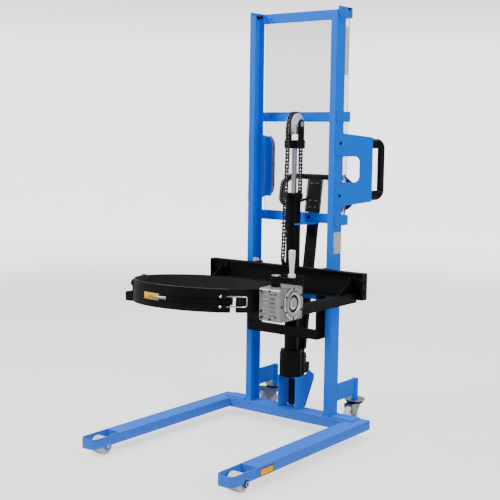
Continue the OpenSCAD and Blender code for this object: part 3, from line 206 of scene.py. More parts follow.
def mathNode(tree, operation, a, b=None, clamp=False):
    node = tree.nodes.new("ShaderNodeMath")
    node.operation = operation
    node.use_clamp = clamp
    for socket, value in zip(node.inputs, (a, b)):
        if value is None:
            continue
        if isinstance(value, (int, float)):
            socket.default_value = value
        else:
            link(tree, value, socket)
    return node.outputs[0]


def noiseNode(tree, vector, scale, detail=3.0, rough=0.55):
    node = tree.nodes.new("ShaderNodeTexNoise")
    node.inputs["Detail"].default_value = detail
    node.inputs["Roughness"].default_value = rough
    if isinstance(scale, (int, float)):
        node.inputs["Scale"].default_value = scale
    else:
        link(tree, scale, node.inputs["Scale"])
    link(tree, vector, node.inputs["Vector"])
    return node.outputs["Fac"]


def stretchNode(tree, vector, factors):         # coordinates multiplied along each axis, for short or long grain
    node = tree.nodes.new("ShaderNodeVectorMath")
    node.operation = "MULTIPLY"
    node.inputs[1].default_value = factors
    link(tree, vector, node.inputs[0])
    return node.outputs[0]


def heightOf(tree, vector):             # the Z of a place
    node = tree.nodes.new("ShaderNodeSeparateXYZ")
    link(tree, vector, node.inputs[0])
    return node.outputs["Z"]


groupLooks = {
    "peelScale": 900.0, "waveScale": 60.0, "waveShare": 0.6,            # powder coat
    "scratchStretch": (30.0, 260.0, 22.0), "scratchFrom": 0.62, "scratchSharp": 9.0,
    "smudgeScale": 7.0, "smudgeFrom": 0.48, "smudgeSharp": 4.0, "smudgeShare": 0.5,
    "dustReach": 0.14, "dustScale": 35.0, "dustMost": 0.9,
}


# Powder coat: fine orange peel over broad waves, as a height
def makePeel():
    g = groupLooks
    group, start, end = newGroup("powderPeel", "Scale", g["peelScale"], "Height")
    fine = noiseNode(group, start.outputs["Vector"], start.outputs["Scale"], 2.0)
    broad = noiseNode(group, start.outputs["Vector"], g["waveScale"], 2.0)
    waves = mathNode(group, "MULTIPLY", broad, g["waveShare"])
    link(group, mathNode(group, "ADD", fine, waves), end.inputs["Height"])
    return group


# Handling marks: thin short scratches and soft smudges, as a mask from 0 to 1
def makeMarks():
    g = groupLooks
    group, start, end = newGroup("handlingMarks", "Amount", 0.5, "Mask")
    vector = start.outputs["Vector"]
    scratch = noiseNode(group, stretchNode(group, vector, g["scratchStretch"]), 1.0, 4.0, 0.7)
    overScratch = mathNode(group, "SUBTRACT", scratch, g["scratchFrom"])
    thin = mathNode(group, "MULTIPLY", overScratch, g["scratchSharp"], True)
    overSmudge = mathNode(group, "SUBTRACT", noiseNode(group, vector, g["smudgeScale"], 5.0, 0.6), g["smudgeFrom"])
    smudge = mathNode(group, "MULTIPLY", overSmudge, g["smudgeSharp"], True)
    both = mathNode(group, "MAXIMUM", thin, mathNode(group, "MULTIPLY", smudge, g["smudgeShare"]))
    link(group, mathNode(group, "MULTIPLY", both, start.outputs["Amount"], True), end.inputs["Mask"])
    return group


# Floor dust: strongest by the floor, broken up by noise, as a mask
def makeDust():
    g = groupLooks
    group, start, end = newGroup("floorDust", "Reach", g["dustReach"], "Mask")
    vector = start.outputs["Vector"]
    rise = mathNode(group, "DIVIDE", heightOf(group, vector), start.outputs["Reach"])
    low = mathNode(group, "SUBTRACT", 1.0, rise, True)
    broken = mathNode(group, "MULTIPLY", low, noiseNode(group, vector, g["dustScale"], 4.0, 0.6))
    link(group, mathNode(group, "MULTIPLY", broken, g["dustMost"], True), end.inputs["Mask"])
    return group


peel, marks, dust = makePeel(), makeMarks(), makeDust()
print("shader groups built")


# ---- materials ----

def startMaterial(name):
    material = bpy.data.materials.new(name)
    material.use_nodes = True
    tree = material.node_tree
    shader = tree.nodes["Principled BSDF"]
    coords = tree.nodes.new("ShaderNodeTexCoord").outputs["Object"]
    return material, tree, shader, coords


def placeGroup(tree, group, vector, **values):
    node = tree.nodes.new("ShaderNodeGroup")
    node.node_tree = group
    link(tree, vector, node.inputs["Vector"])
    for label, value in values.items():
        node.inputs[label].default_value = value
    return node.outputs[0]


def mixColour(tree, mask, a, b, blend="MIX"):
    node = tree.nodes.new("ShaderNodeMix")
    node.data_type = "RGBA"
    node.blend_type = blend
    for socket, value in ((node.inputs[0], mask), (node.inputs[6], a), (node.inputs[7], b)):
        if isinstance(value, tuple):
            socket.default_value = (*value, 1)
        elif isinstance(value, float):
            socket.default_value = value
        else:
            link(tree, value, socket)
    return node.outputs[2]


def greyRamp(tree, value, stops):       # stops of (place from 0 to 1, colour)
    ramp = tree.nodes.new("ShaderNodeValToRGB")
    for k, (position, colour) in enumerate(stops):
        stop = ramp.color_ramp.elements[k] if k < 2 else ramp.color_ramp.elements.new(position)
        stop.position = position
        stop.color = (*colour, 1)
    link(tree, value, ramp.inputs["Fac"])
    return ramp.outputs["Color"]


def span(tree, mask, low, high):        # low + (high - low) * mask
    return mathNode(tree, "ADD", mathNode(tree, "MULTIPLY", mask, high - low), low)


def bumpFrom(tree, shader, height, strength, distance=0.0004):
    node = tree.nodes.new("ShaderNodeBump")
    node.inputs["Strength"].default_value = strength
    node.inputs["Distance"].default_value = distance
    link(tree, height, node.inputs["Height"])
    link(tree, node.outputs[0], shader.inputs["Normal"])


def skin(tree, shader, colour, rough):          # the two things that vary over every finish
    link(tree, colour, shader.inputs["Base Color"])
    link(tree, rough, shader.inputs["Roughness"])


def shaded(colour, share):
    return tuple(c * share for c in colour)


enamels = {
    "blueEnamel": {"colour": (0.000, 0.150, 0.800), "worn": (0.020, 0.190, 0.780),
                   "gloss": 0.36, "marked": 0.25, "shine": 0.10, "dusty": 0.35},
    "blackEnamel": {"colour": (0.0030, 0.0030, 0.0034), "worn": (0.016, 0.016, 0.0165),
                    "gloss": 0.40, "marked": 0.30, "shine": 0.10, "dusty": 0.15},
    "ringEnamel": {"colour": (0.0038, 0.0038, 0.0042), "worn": (0.020, 0.0195, 0.019),
                   "gloss": 0.44, "marked": 0.45, "shine": 0.10, "dusty": 0.15},
    # lighter grey for the door's top edge: rubbed paint and a painted highlight
    "rubbedSheenEnamel": {"colour": (0.060, 0.060, 0.058), "worn": (0.22, 0.22, 0.215),
                     "gloss": 0.38, "marked": 0.9, "shine": 0.35, "dusty": 0.1},
}
dustColour = (0.42, 0.40, 0.37)


# Stoved enamel in one colour, with its peel, handling marks and a little floor dust
def enamel(name, colour, worn, gloss, marked, shine, dusty):
    material, tree, shader, coords = startMaterial(name)
    marksMask = placeGroup(tree, marks, coords, Amount=marked)
    dustMask = placeGroup(tree, dust, coords, Reach=groupLooks["dustReach"])
    tone = mixColour(tree, noiseNode(tree, coords, 3.0, 2.0), colour, shaded(colour, 0.93))
    used = mixColour(tree, marksMask, tone, worn)
    dusted = mixColour(tree, mathNode(tree, "MULTIPLY", dustMask, dusty), used, dustColour)
    dulled = mathNode(tree, "MAXIMUM", marksMask, dustMask)
    skin(tree, shader, dusted, span(tree, dulled, gloss, min(gloss + 0.25, 0.9)))
    bumpFrom(tree, shader, placeGroup(tree, peel, coords, Scale=groupLooks["peelScale"]), 0.12)
    shader.inputs["Specular IOR Level"].default_value = shine
    return material


bluePaint, blackPaint, ringPaint, rubbedSheenPaint = (enamel(name, **look) for name, look in enamels.items())

castLook = {
    "dark": (0.20, 0.20, 0.195), "light": (0.46, 0.46, 0.45), "rough": 0.44, "sandScale": 520.0,
    # grey by radius on the turned cover, mm: painted shade in its recesses and painted highlights on its edges
    "coverReach": 70,
    "coverShadeTones": [(0, 0.50), (16, 0.62), (21, 1.0), (24.5, 0.30), (27, 0.10), (35, 0.12), (37, 0.95), (41, 0.70),
                   (47, 0.55), (50, 0.22), (53, 0.25), (56, 0.60), (61, 0.85), (65, 0.50), (67, 0.20)],
    "coverCloud": [(0.62, 0.62, 0.61), (1.0, 1.0, 0.98)],
}


# Die-cast aluminium: blotchy grey with a sandy skin
def castMetal():
    c = castLook
    material, tree, shader, coords = startMaterial("castAluminium")
    cloud = noiseNode(tree, coords, 28.0, 6.0, 0.65)
    sand = noiseNode(tree, coords, c["sandScale"], 3.0, 0.6)
    skin(tree, shader, mixColour(tree, cloud, c["dark"], c["light"]),
         span(tree, cloud, c["rough"] + 0.1, c["rough"] - 0.06))
    shader.inputs["Metallic"].default_value = 0.85
    grain = mathNode(tree, "ADD", mathNode(tree, "MULTIPLY", sand, 0.6), cloud)
    bumpFrom(tree, shader, grain, 0.35, 0.0005)
    return material


# The same casting on the turned cover, with painted shade and highlights by distance from the shaft: the root of (y -
# y0)^2 + (z - z0)^2
def coverShadedMetal():
    c = castLook
    material, tree, shader, coords = startMaterial("coverShadedMetal")
    centre = spot(0, shaft["y"], shaft["z"])
    parts = tree.nodes.new("ShaderNodeSeparateXYZ")
    link(tree, coords, parts.inputs[0])
    dy = mathNode(tree, "SUBTRACT", parts.outputs["Y"], float(centre[1]))
    dz = mathNode(tree, "SUBTRACT", parts.outputs["Z"], float(centre[2]))
    squares = mathNode(tree, "ADD", mathNode(tree, "MULTIPLY", dy, dy), mathNode(tree, "MULTIPLY", dz, dz))
    distance = mathNode(tree, "DIVIDE", mathNode(tree, "SQRT", squares), c["coverReach"] / 1000, True)
    stops = [(radius / c["coverReach"], (grey, grey, grey * 0.985)) for radius, grey in c["coverShadeTones"]]
    cloud = noiseNode(tree, coords, 40.0, 5.0, 0.6)
    tone = mixColour(tree, 1.0, greyRamp(tree, distance, stops), mixColour(tree, cloud, *c["coverCloud"]), "MULTIPLY")
    skin(tree, shader, tone, span(tree, cloud, 0.50, 0.34))
    shader.inputs["Metallic"].default_value = 0.8
    bumpFrom(tree, shader, noiseNode(tree, coords, c["sandScale"], 3.0, 0.6), 0.3)
    return material


castAluminium, castCover = castMetal(), coverShadedMetal()

metals = {
    "zincPlate": {"colour": (0.62, 0.63, 0.64), "rough": 0.26},
    "casterZinc": {"colour": (0.40, 0.41, 0.41), "rough": 0.30,
                   "lines": (30.0, 30.0, 200.0), "strength": 0.12, "spread": 0.16},
    "rodChrome": {"colour": (0.80, 0.80, 0.81), "rough": 0.14,
                  "lines": (4.0, 4.0, 500.0), "strength": 0.05, "spread": 0.06},
    "wornSteel": {"colour": (0.30, 0.30, 0.31), "rough": 0.34},
    "bronzeWheel": {"colour": (0.55, 0.36, 0.16), "rough": 0.35},
    "chainSteel": {"colour": (0.075, 0.072, 0.070), "rough": 0.40, "lines": (300.0, 300.0, 300.0), "strength": 0.2},
    "blackScrew": {"colour": (0.030, 0.030, 0.032), "rough": 0.42, "lines": (300.0, 300.0, 300.0)},
}


# Plated or turned metal: fine lines across one axis
def turnedMetal(name, colour, rough, lines=(6.0, 6.0, 900.0), strength=0.15, spread=0.12):
    material, tree, shader, coords = startMaterial(name)
    line = noiseNode(tree, stretchNode(tree, coords, lines), 1.0, 3.0, 0.6)
    cloud = noiseNode(tree, coords, 45.0, 4.0, 0.6)
    skin(tree, shader, mixColour(tree, cloud, shaded(colour, 0.82), colour),
         span(tree, line, rough - spread / 2, rough + spread / 2))
    shader.inputs["Metallic"].default_value = 1.0
    bumpFrom(tree, shader, line, strength, 0.0002)
    return material


zincPlate, casterZinc, rodChrome, wornSteel, bronzeWheel, chainSteel, blackScrew = (
    turnedMetal(name, **look) for name, look in metals.items())

plastics = {
    "gripPlastic": {"colour": (0.0045, 0.0045, 0.005), "worn": (0.018, 0.018, 0.018),
                    "rough": 0.45, "marked": 0.4, "shine": 0.12},
    "whiteHandle": {"colour": (0.80, 0.80, 0.79), "worn": (0.62, 0.61, 0.58), "rough": 0.34, "marked": 0.2},
    "nylonRoller": {"colour": (0.78, 0.75, 0.66), "worn": (0.50, 0.47, 0.41), "rough": 0.42, "marked": 0.7},
    "nylonCaster": {"colour": (0.80, 0.80, 0.78), "worn": (0.55, 0.54, 0.50), "rough": 0.40, "marked": 0.6},
    "liningRubber": {"colour": (0.010, 0.010, 0.0095), "worn": (0.026, 0.025, 0.024),
                     "rough": 0.62, "marked": 0.6, "grain": 260.0, "shine": 0.2},
}


# Moulded plastic: slight mottling, a satin skin and a few scuffs
def moulded(name, colour, worn, rough, marked, grain=420.0, shine=0.4):
    material, tree, shader, coords = startMaterial(name)
    marksMask = placeGroup(tree, marks, coords, Amount=marked)
    tone = mixColour(tree, noiseNode(tree, coords, 18.0, 3.0), colour, shaded(colour, 0.9))
    skin(tree, shader, mixColour(tree, marksMask, tone, worn), span(tree, marksMask, rough, min(rough + 0.2, 0.95)))
    shader.inputs["Specular IOR Level"].default_value = shine
    bumpFrom(tree, shader, noiseNode(tree, coords, grain, 2.0), 0.1)
    return material


gripPlastic, whiteHandle, nylonRoller, nylonCaster, liningRubber = (
    moulded(name, **look) for name, look in plastics.items())


# Clear sheet: almost unseen face on, with fine rub marks
def clearSheet():
    material, tree, shader, coords = startMaterial("clearSheet")
    marksMask = placeGroup(tree, marks, coords, Amount=0.25)
    tint = mixColour(tree, marksMask, (0.93, 0.97, 0.98), (0.80, 0.85, 0.87))
    skin(tree, shader, tint, span(tree, marksMask, 0.03, 0.20))
    shader.inputs["Transmission Weight"].default_value = 1.0
    shader.inputs["IOR"].default_value = 1.12
    shader.inputs["Alpha"].default_value = 0.22
    return material


screenSheet = clearSheet()

stickerColours = {
    "yellowSticker": (0.95, 0.45, 0.0), "blackSticker": (0.015, 0.015, 0.015), "creamSticker": (0.56, 0.53, 0.47),
    # the grey for the screen's edges is a painted reflection
    "tanSticker": (0.60, 0.52, 0.38), "lilacSticker": (0.62, 0.58, 0.84), "edgeReflectionGrey": (0.30, 0.32, 0.33),
    "rustCap": (0.20, 0.035, 0.02),
}


# Bare sticker in one colour, a little uneven
def sticker(name, field):
    material, tree, shader, coords = startMaterial(name)
    cloud = noiseNode(tree, coords, 40.0, 3.0)
    skin(tree, shader, mixColour(tree, cloud, field, shaded(field, 0.9)), span(tree, cloud, 0.30, 0.42))
    shader.inputs["Specular IOR Level"].default_value = 0.12
    bumpFrom(tree, shader, cloud, 0.05)
    return material


yellowSticker, blackSticker, creamSticker, tanSticker, lilacSticker, edgeReflectionGrey, rustCap = (
    sticker(name, field) for name, field in stickerColours.items())

bySlot = {
    "blue_paint": bluePaint, "black_paint": blackPaint, "black_plastic": gripPlastic, "cast_aluminium": castAluminium,
    "zinc": zincPlate, "chain_steel": chainSteel, "hard_chrome": rodChrome, "bronze": bronzeWheel,
    "lining_rubber": liningRubber, "nylon": nylonRoller, "clear_sheet": screenSheet, "white_plastic": whiteHandle,
}
slotOf = {part["node"]: part["material_slot"] for part in frame["record"]["subparts"]}
special = {                             # nodes whose finish isn't their slot's usual one
    "ring_frame": ringPaint, "ring_door": ringPaint, "frame_bolts": blackScrew, "beam_bolts": blackScrew,
    "latch_lever": blackPaint, "release_lever": blackPaint,
    "left_caster_wheel": nylonCaster, "right_caster_wheel": nylonCaster,
    "left_caster_fork": casterZinc, "right_caster_fork": casterZinc,
}
for name, node in nodes.items():
    node.data.materials.clear()
    node.data.materials.append(special.get(name, bySlot[slotOf[name]]))
print("materials assigned")


# ---- tiller loop ----

tillerSizes = {
    "footX": 32, "foot": 652, "waist": 738, "shoulder": 829, "top": 864,     # up the tiller from its pivot, mm
    "halfWidth": 200, "topX": 150, "tubeDiameter": 27, "cornerRadius": 28,
    "pivotY": 110, "pivotZ": 330, "leanDegrees": 8.3,
    "panelY": -18.1, "studs": [(16, 831), (17, 747), (15, 715)],
    "studHead": [(0.01, 0), (3.4, 0), (3.4, 1.0), (2.4, 1.9), (0.01, 2.1)],
}
lean = math.radians(tillerSizes["leanDegrees"])
tillerFacing = np.array((0, -math.cos(lean), math.sin(lean)))           # the way that the tiller's panel faces


def tillerSpot(x, y, z):                # a place in the tiller's own frame, mm, to metres
    return spot(x, tillerSizes["pivotY"] + y * math.cos(lean) + z * math.sin(lean),
                tillerSizes["pivotZ"] - y * math.sin(lean) + z * math.cos(lean))


def tillerLoop():                       # round tube along a six-cornered loop with rounded bends
    s = tillerSizes
    half = [(s["footX"], s["foot"]), (s["halfWidth"], s["waist"]),
            (s["halfWidth"], s["shoulder"]), (s["topX"], s["top"])]
    corners = [(-x, z) for x, z in half] + half[::-1]
    path = roundedPath([tillerSpot(x, 0, z) for x, z in corners], s["cornerRadius"] / 1000)
    return tube("tillerLoop", path, s["tubeDiameter"] / 2000, side=-tillerFacing)


def tillerStuds():                      # small screw heads on the front of the tiller's panel
    s = tillerSizes
    places = [tillerSpot(side * x, s["panelY"], z) for side in (-1, 1) for x, z in s["studs"]]
    return joinPieces("tillerStuds", [lathe("head", s["studHead"], place, tillerFacing, 20) for place in places])


finishPiece(tillerLoop(), "tiller", blackPaint, ["tiller_handle"])
finishPiece(tillerStuds(), "tiller", wornSteel)
print("tiller loop built")


# ---- push handles ----

gripSizes = {
    "splayDegrees": 21.3, "rootX": 243, "rootY": 69, "barX": -12.5, "flangeY": 172, "barY": 235,
    "height": 288, "middleZ": 1229.5, "thickness": 33, "armHeight": 46, "cornerRadius": 26, "footHeight": 46,
    "armLength": 30, "taper": 50, "flange": 3, "flangeReach": 6,
}
splay = math.radians(gripSizes["splayDegrees"])


def splaySpot(x, y, z, side):           # a place in the splayed plate's frame, mm, on either side
    return spot(side * (gripSizes["rootX"] + x * math.cos(splay) + y * math.sin(splay)),
                gripSizes["rootY"] - x * math.sin(splay) + y * math.cos(splay), z)


# Round tube along a D: its radius runs from arm to bar as t^2 (3 - 2 t), with a flange of e^(-s / reach) at its ends
def pushGrip(name, side):
    s = gripSizes
    half, inset = s["height"] / 2, s["footHeight"] / 2
    top, low = s["middleZ"] + half - inset, s["middleZ"] - half + inset
    corners = [splaySpot(s["barX"], y, z, side) for y, z in
               ((s["flangeY"] + 1, top), (s["barY"], top), (s["barY"], low), (s["flangeY"] + 1, low))]
    path = roundedPath(corners, s["cornerRadius"] / 1000, 14)
    along = np.concatenate([[0], np.cumsum(np.linalg.norm(np.diff(path, axis=0), axis=1))])
    toEnd = np.minimum(along, along[-1] - along)
    bar, arm = s["thickness"] / 2000, s["armHeight"] / 2000
    t = np.clip((toEnd - s["armLength"] / 1000) / (s["taper"] / 1000), 0, 1)
    radius = arm + (bar - arm) * t * t * (3 - 2 * t)
    flange = s["flange"] / 1000 * np.exp(-toEnd / (s["flangeReach"] / 1000))
    return tube(name, path, radius + flange * 0.5, 32, (bar + flange) / radius,
                side=(side * math.cos(splay), -math.sin(splay), 0))


gripPair = joinPieces("pushGrips", [pushGrip("gripRight", 1), pushGrip("gripLeft", -1)])
finishPiece(gripPair, "chassis", gripPlastic, ["handle_grips"])
print("push handles built")


# ---- gearbox ----

gearSizes = {
    "rightX": 440, "frontY": -685, "wormX": 400, "wormY": -657,
    "cover": [(0.01, 0.4), (67, 0), (67, 1.2), (66.5, 2.5), (64, 4.2), (53, 4.8), (50, 6.6), (46, 8), (40, 8),
              (37.4, 6.5), (36, 2), (33, 1.1), (26.5, 1.2), (24.4, 3), (20, 5), (10, 6), (0.01, 6.6)],
    "seal": [(26.8, 1.3), (35.4, 1.6), (34.6, 2.5), (31, 2.9), (27.6, 2.4)],
    "socket": [(0, 0), (5.2, 0), (5.2, 0.9), (4.2, 1.1), (3.6, 0.2), (0.01, 0.2)],
    "coverSockets": 6, "coverSocketRadius": 60.5, "coverSocketX": 444.4,
    "frontSockets": [(349, 768), (390, 770), (349, 687), (349, 660), (392, 657)], "sideSocket": (-671, 709),
    "ribX": 388, "ribZ": (672, 689, 706, 723, 740, 757), "rib": (60, 9, 1.4, 3.5),
}


def gearCover():                        # turned cover: flat skirt, raised rim, deep groove and a domed middle
    g = gearSizes
    return lathe("gearCover", g["cover"], spot(g["rightX"], shaft["y"], shaft["z"]), alongX, 128)


def grooveShadeRing():                       # dark ring painted into the cover's groove as its shade
    g = gearSizes
    return lathe("grooveShadeRing", g["seal"], spot(g["rightX"], shaft["y"], shaft["z"]), alongX, 96)


def screwSockets():                     # dark sunk screws: short cups on the cover, the front and the side
    g = gearSizes
    count, r = g["coverSockets"], g["coverSocketRadius"]
    turns = [math.radians(30 + 360 / count * k) for k in range(count)]
    places = [(spot(g["coverSocketX"], shaft["y"] + r * math.cos(a), shaft["z"] + r * math.sin(a)), alongX)
              for a in turns]
    places += [(spot(x, g["frontY"] - 0.2, z), (0, -1, 0)) for x, z in g["frontSockets"]]
    places += [(spot(g["rightX"] + 0.2, *g["sideSocket"]), alongX)]
    return joinPieces("screwSockets", [lathe("cup", g["socket"], place, axis, 20) for place, axis in places])


def gearRibs():                         # shallow bars across the front face, each a rounded slab
    g = gearSizes
    return joinPieces("gearRibs", [slab("rib", spot(g["ribX"], g["frontY"] + 0.3, z), alongX, alongZ, *g["rib"])
                                   for z in g["ribZ"]])


finishPiece(gearCover(), "carriage", castCover, ["gearbox_cover"])
finishPiece(grooveShadeRing(), "carriage", gripPlastic)
finishPiece(screwSockets(), "carriage", blackScrew)
finishPiece(gearRibs(), "carriage", castAluminium)
print("gearbox dressed")


# ---- crank handle ----

crankSizes = {
    "radius": 62, "turnDegrees": 37, "gripFoot": 823.3, "gripHeight": 109, "bore": 5.06,
    "neckRadius": 8.4, "swell": 4.9, "swellPower": 1.3,
    "collarRadius": 16, "collarHeight": 14, "collarFlats": 8,
    "hub": [(14, 830.6), (19.2, 830.6), (19.2, 832.0), (18.4, 832.8), (14, 832.8)],
}


# Eight-sided collar, then a body whose radius is neck + swell sin(pi t / 2)^power up to a rounded top
def crankSleeve():
    c = crankSizes
    a = math.radians(c["turnDegrees"])
    place = spot(gearSizes["wormX"] + c["radius"] * math.cos(a),
                 gearSizes["wormY"] + c["radius"] * math.sin(a), c["gripFoot"])
    high, collar, wide = c["gripHeight"], c["collarHeight"], c["collarRadius"]
    t = np.linspace(0, 1, 30)
    body = np.stack([c["neckRadius"] + c["swell"] * np.sin(np.pi / 2 * t) ** c["swellPower"],
                     collar + 2 + (high - collar - 6) * t], axis=1)
    foot = [(c["bore"], 0), (wide - 1.5, 0), (wide, 1.5), (wide, collar - 2.5), (wide - 1.6, collar - 0.5),
            (9.4, collar + 1)]
    top = [(13.0, high - 2.4), (11.8, high - 0.8), (10, high), (c["bore"], high)]
    profile = np.vstack([foot, body, top])
    return lathe("crankSleeve", profile, place, alongZ, 64, c["collarFlats"], (1, 2, 3, 4))


def hubRingHighlight():                          # bright zinc ring at the top edge of the crank's hub: turned metal with a painted highlight
    return lathe("hubRingHighlight", crankSizes["hub"], spot(gearSizes["wormX"], gearSizes["wormY"], 0), alongZ, 64)


finishPiece(crankSleeve(), "grip", whiteHandle, ["crank_grip"])
finishPiece(hubRingHighlight(), "crank", zincPlate)
print("crank sleeve built")


# ---- lifting chain ----

chainSizes = {
    "pitch": 15.875, "plateRadius": 7, "waist": 5.3, "plateThick": 1.8, "innerX": 5, "outerX": 7, "pinHalf": 10.8,
    "pinDiameter": 5, "rollerDiameter": 10, "lugY": -46, "lugZ": 802.8, "frontY": -14.74, "rearY": 86.74,
    "anchorZ": 1119.5, "wheelZ": 1437,
}
chainLinks = {"front": 40, "rear": 20}


# Prisms of one outline (s, t) at stations along a line, each between two places on X:
# foot + (station + s) along + t (x cross along) + x, walled round the outline and capped at both ends.
# The numbers of their points start at first
def prisms(first, foot, along, outline, stations, lowX, highX):
    across = np.cross(alongX, along)
    lane = foot + (stations[:, None] + outline[None, :, 0])[..., None] * along + outline[None, :, 1, None] * across
    points = lane[:, None] + np.stack([lowX, highX], axis=1)[:, :, None, None] * np.array([1.0, 0, 0])
    ids = first + np.arange(points.size // 3).reshape(points.shape[:3])
    after = np.roll(ids, -1, axis=2)
    sides = np.stack([ids[:, 0], after[:, 0], after[:, 1], ids[:, 1]], axis=-1).reshape(-1, 4)
    return points.reshape(-1, 3), sides.tolist() + ids[:, 1].tolist() + ids[:, 0, ::-1].tolist()


def disc(radius, sides):                # points round a circle
    v = np.linspace(0, 2 * np.pi, sides, endpoint=False)
    return np.stack([radius * np.cos(v), radius * np.sin(v)], axis=1)


def chainRun(name, foot, top, count, firstOuter):       # waisted plates in pairs, with rollers and pins between them
    c = {key: value / 1000 for key, value in chainSizes.items()}
    along = (top - foot) / np.linalg.norm(top - foot)
    a = np.radians(np.linspace(-60, 60, 7))
    cap = np.stack([c["pitch"] / 2 + c["plateRadius"] * np.cos(a), c["plateRadius"] * np.sin(a)], axis=1)
    plate = np.vstack([cap, [(0, c["waist"])], -cap, [(0, -c["waist"])]])
    links = np.arange(count)
    outer = (count - 1 - links + firstOuter) % 2 == 1
    x = np.where(outer, c["outerX"], c["innerX"])
    middle, joints = (links + 0.5) * c["pitch"], links * c["pitch"]
    half, inner = np.full(count, c["pinHalf"]), np.full(count - 1, c["innerX"])
    stacks = [(plate, middle, x, x + c["plateThick"]), (plate, middle, -x - c["plateThick"], -x),
              (disc(c["pinDiameter"] / 2, 10), joints, -half, half),
              (disc(c["rollerDiameter"] / 2, 14), joints[1:], -inner, inner)]
    points, faces = np.empty((0, 3)), []
    for outline, stations, lowX, highX in stacks:
        more, walls = prisms(len(points), foot, along, outline, stations, lowX, highX)
        points, faces = np.vstack([points, more]), faces + walls
    return makePiece(name, points, faces, smooth=False)


def hangChain(name, foot, top, count, firstOuter, node):      # a chain run in its finish, in place of the CAD run
    piece = chainRun(name, foot, top, count, firstOuter)
    piece.data.materials.append(chainSteel)
    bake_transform(piece)
    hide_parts(node)


def hangBothChains():
    c = chainSizes
    hangChain("frontChain", spot(0, c["lugY"], c["lugZ"]), spot(0, c["frontY"], c["wheelZ"]),
              chainLinks["front"], 1, "chain_front_run")
    hangChain("rearChain", spot(0, c["rearY"], c["anchorZ"]), spot(0, c["rearY"], c["wheelZ"]),
              chainLinks["rear"], 0, "chain_rear_run")


hangBothChains()
print("chain hung")


# ---- wheels ----

wheelSizes = {
    "casterDiameter": 100, "casterWidth": 32, "casterBore": 12.1, "casterX": 237, "casterY": 240,
    "trail": 35, "leftTurn": 45,
    "rollerDiameter": 75, "rollerWidth": 62, "rollerBore": 16.1, "frontX": 374.5, "frontY": -859,
    "axleX": 418.1,
    "axleRing": [(6.4, 0), (13.5, 0), (14.5, 0.8), (14.5, 3.4), (13.2, 4.6), (8.2, 4.6), (6.4, 3.6)],
    "axleCap": [(0.01, 0.4), (7.4, 0.4), (7.4, 4.2), (6.2, 5.0), (0.01, 5.0)],
    "swivelCone": [(30, 119.4), (46.5, 119.4), (46, 117), (41.5, 111), (38.4, 106.5), (36.4, 105.4), (30, 105.4)],
}
sideWords = {-1: "left", 1: "right"}


def casterWheel(name, centre, axis):    # tyre with a flat tread, a dished web and a hub
    r, w, b = wheelSizes["casterDiameter"] / 2, wheelSizes["casterWidth"] / 2, wheelSizes["casterBore"] / 2
    half = [(b, w), (11, w), (12.5, w - 1.5), (14, w - 7), (30, w - 8), (34, w - 2.5), (36, w - 1), (44, w - 1),
            (47.5, w - 2.5), (49.4, w - 6), (r, w - 9)]
    profile = half[::-1] + [(x, -h) for x, h in half]
    return lathe(name, profile[::-1], centre, axis)


def loadRoller(name, centre):           # barrel roller with rounded shoulders and turned end rings
    r, w, b = wheelSizes["rollerDiameter"] / 2, wheelSizes["rollerWidth"] / 2, wheelSizes["rollerBore"] / 2
    t = np.linspace(0, np.pi / 2, 8)
    shoulder = np.stack([r - 5 + 5 * np.sin(t), w - 5 + 5 * np.cos(t)], axis=1)
    rings = [(b, w - 1), (12, w - 1), (13.5, w), (20, w), (21, w - 1.2), (24, w - 1.2), (25, w)]
    half = np.vstack([rings, shoulder, [(r, w - 8)]])
    return lathe(name, np.vstack([half, half[::-1] * (1, -1)]), centre, alongX)


def placeCasters():
    s = wheelSizes
    for side, turn in ((-1, math.radians(s["leftTurn"])), (1, 0.0)):
        word = sideWords[side]
        centre = spot(side * s["casterX"] - s["trail"] * math.sin(turn), s["casterY"] - s["trail"] * math.cos(turn),
                      s["casterDiameter"] / 2)
        tyre = casterWheel(word + "CasterTyre", centre, (math.cos(turn), -math.sin(turn), 0))
        finishPiece(tyre, word + "_rear_wheel", nylonCaster, [word + "_caster_wheel"])


def placeRollers():
    s = wheelSizes
    for side, word in sideWords.items():
        roller = loadRoller(word + "LoadRoller", spot(side * s["frontX"], s["frontY"], s["rollerDiameter"] / 2))
        finishPiece(roller, word + "_front_wheel", nylonRoller, [word + "_front_roller"])


def axleTrim(name, profile, segments):  # a turned piece on both ends of the front axles, outside each fork
    s = wheelSizes
    return joinPieces(name, [lathe("end", profile, spot(side * s["axleX"], s["frontY"], s["rollerDiameter"] / 2),
                                   (side, 0, 0), segments) for side in sideWords])


placeCasters()
placeRollers()
finishPiece(axleTrim("axleEnds", wheelSizes["axleRing"], 48), "chassis", gripPlastic)
finishPiece(axleTrim("axleCaps", wheelSizes["axleCap"], 32), "chassis", rustCap)
print("wheels built")


# ---- weld beads ----

beadSizes = {"trough": 0.82, "crest": 0.18, "pitch": 3.2, "endShare": 0.4}
chassisRuns = [                         # ends and radius in mm, each on both sides
    ((331, -15, 83), (331, 80, 83), 2.6),                   # legs to the crossbeam
    ((331, -15.5, 42), (331, -15.5, 82), 2.6),
    ((250, 0, 89), (250, 74, 89), 2.6),                     # masts to their pads and the pads to the beam
    ((212, 0.2, 83.5), (243, 0.2, 83.5), 2.6),
    ((243.3, 0, 83.5), (243.3, 74, 83.5), 2.6),
    ((249.5, 77, 83.5), (330, 77, 83.5), 2.0),
    ((331, -787, 83.3), (418, -787, 83.3), 1.8),            # fork bands to the legs
    ((418.3, -787, 41), (418.3, -787, 82), 1.8),
    ((243.4, 74.3, 1916), (243.4, 74.3, 1941), 2.0),        # straps to the masts
    ((243.4, 74.3, 1450), (243.4, 74.3, 1492), 2.0),
    ((243.4, 74.3, 976), (243.4, 74.3, 1018), 2.0),
    ((243.4, 74.3, 609), (243.4, 74.3, 651), 2.0),
    ((52.3, 5, 83.6), (52.3, 80, 83.6), 2.6),               # pump stand
    ((242.3, 74.5, 148), (242.3, 74.5, 224), 2.6),          # caster arms
]
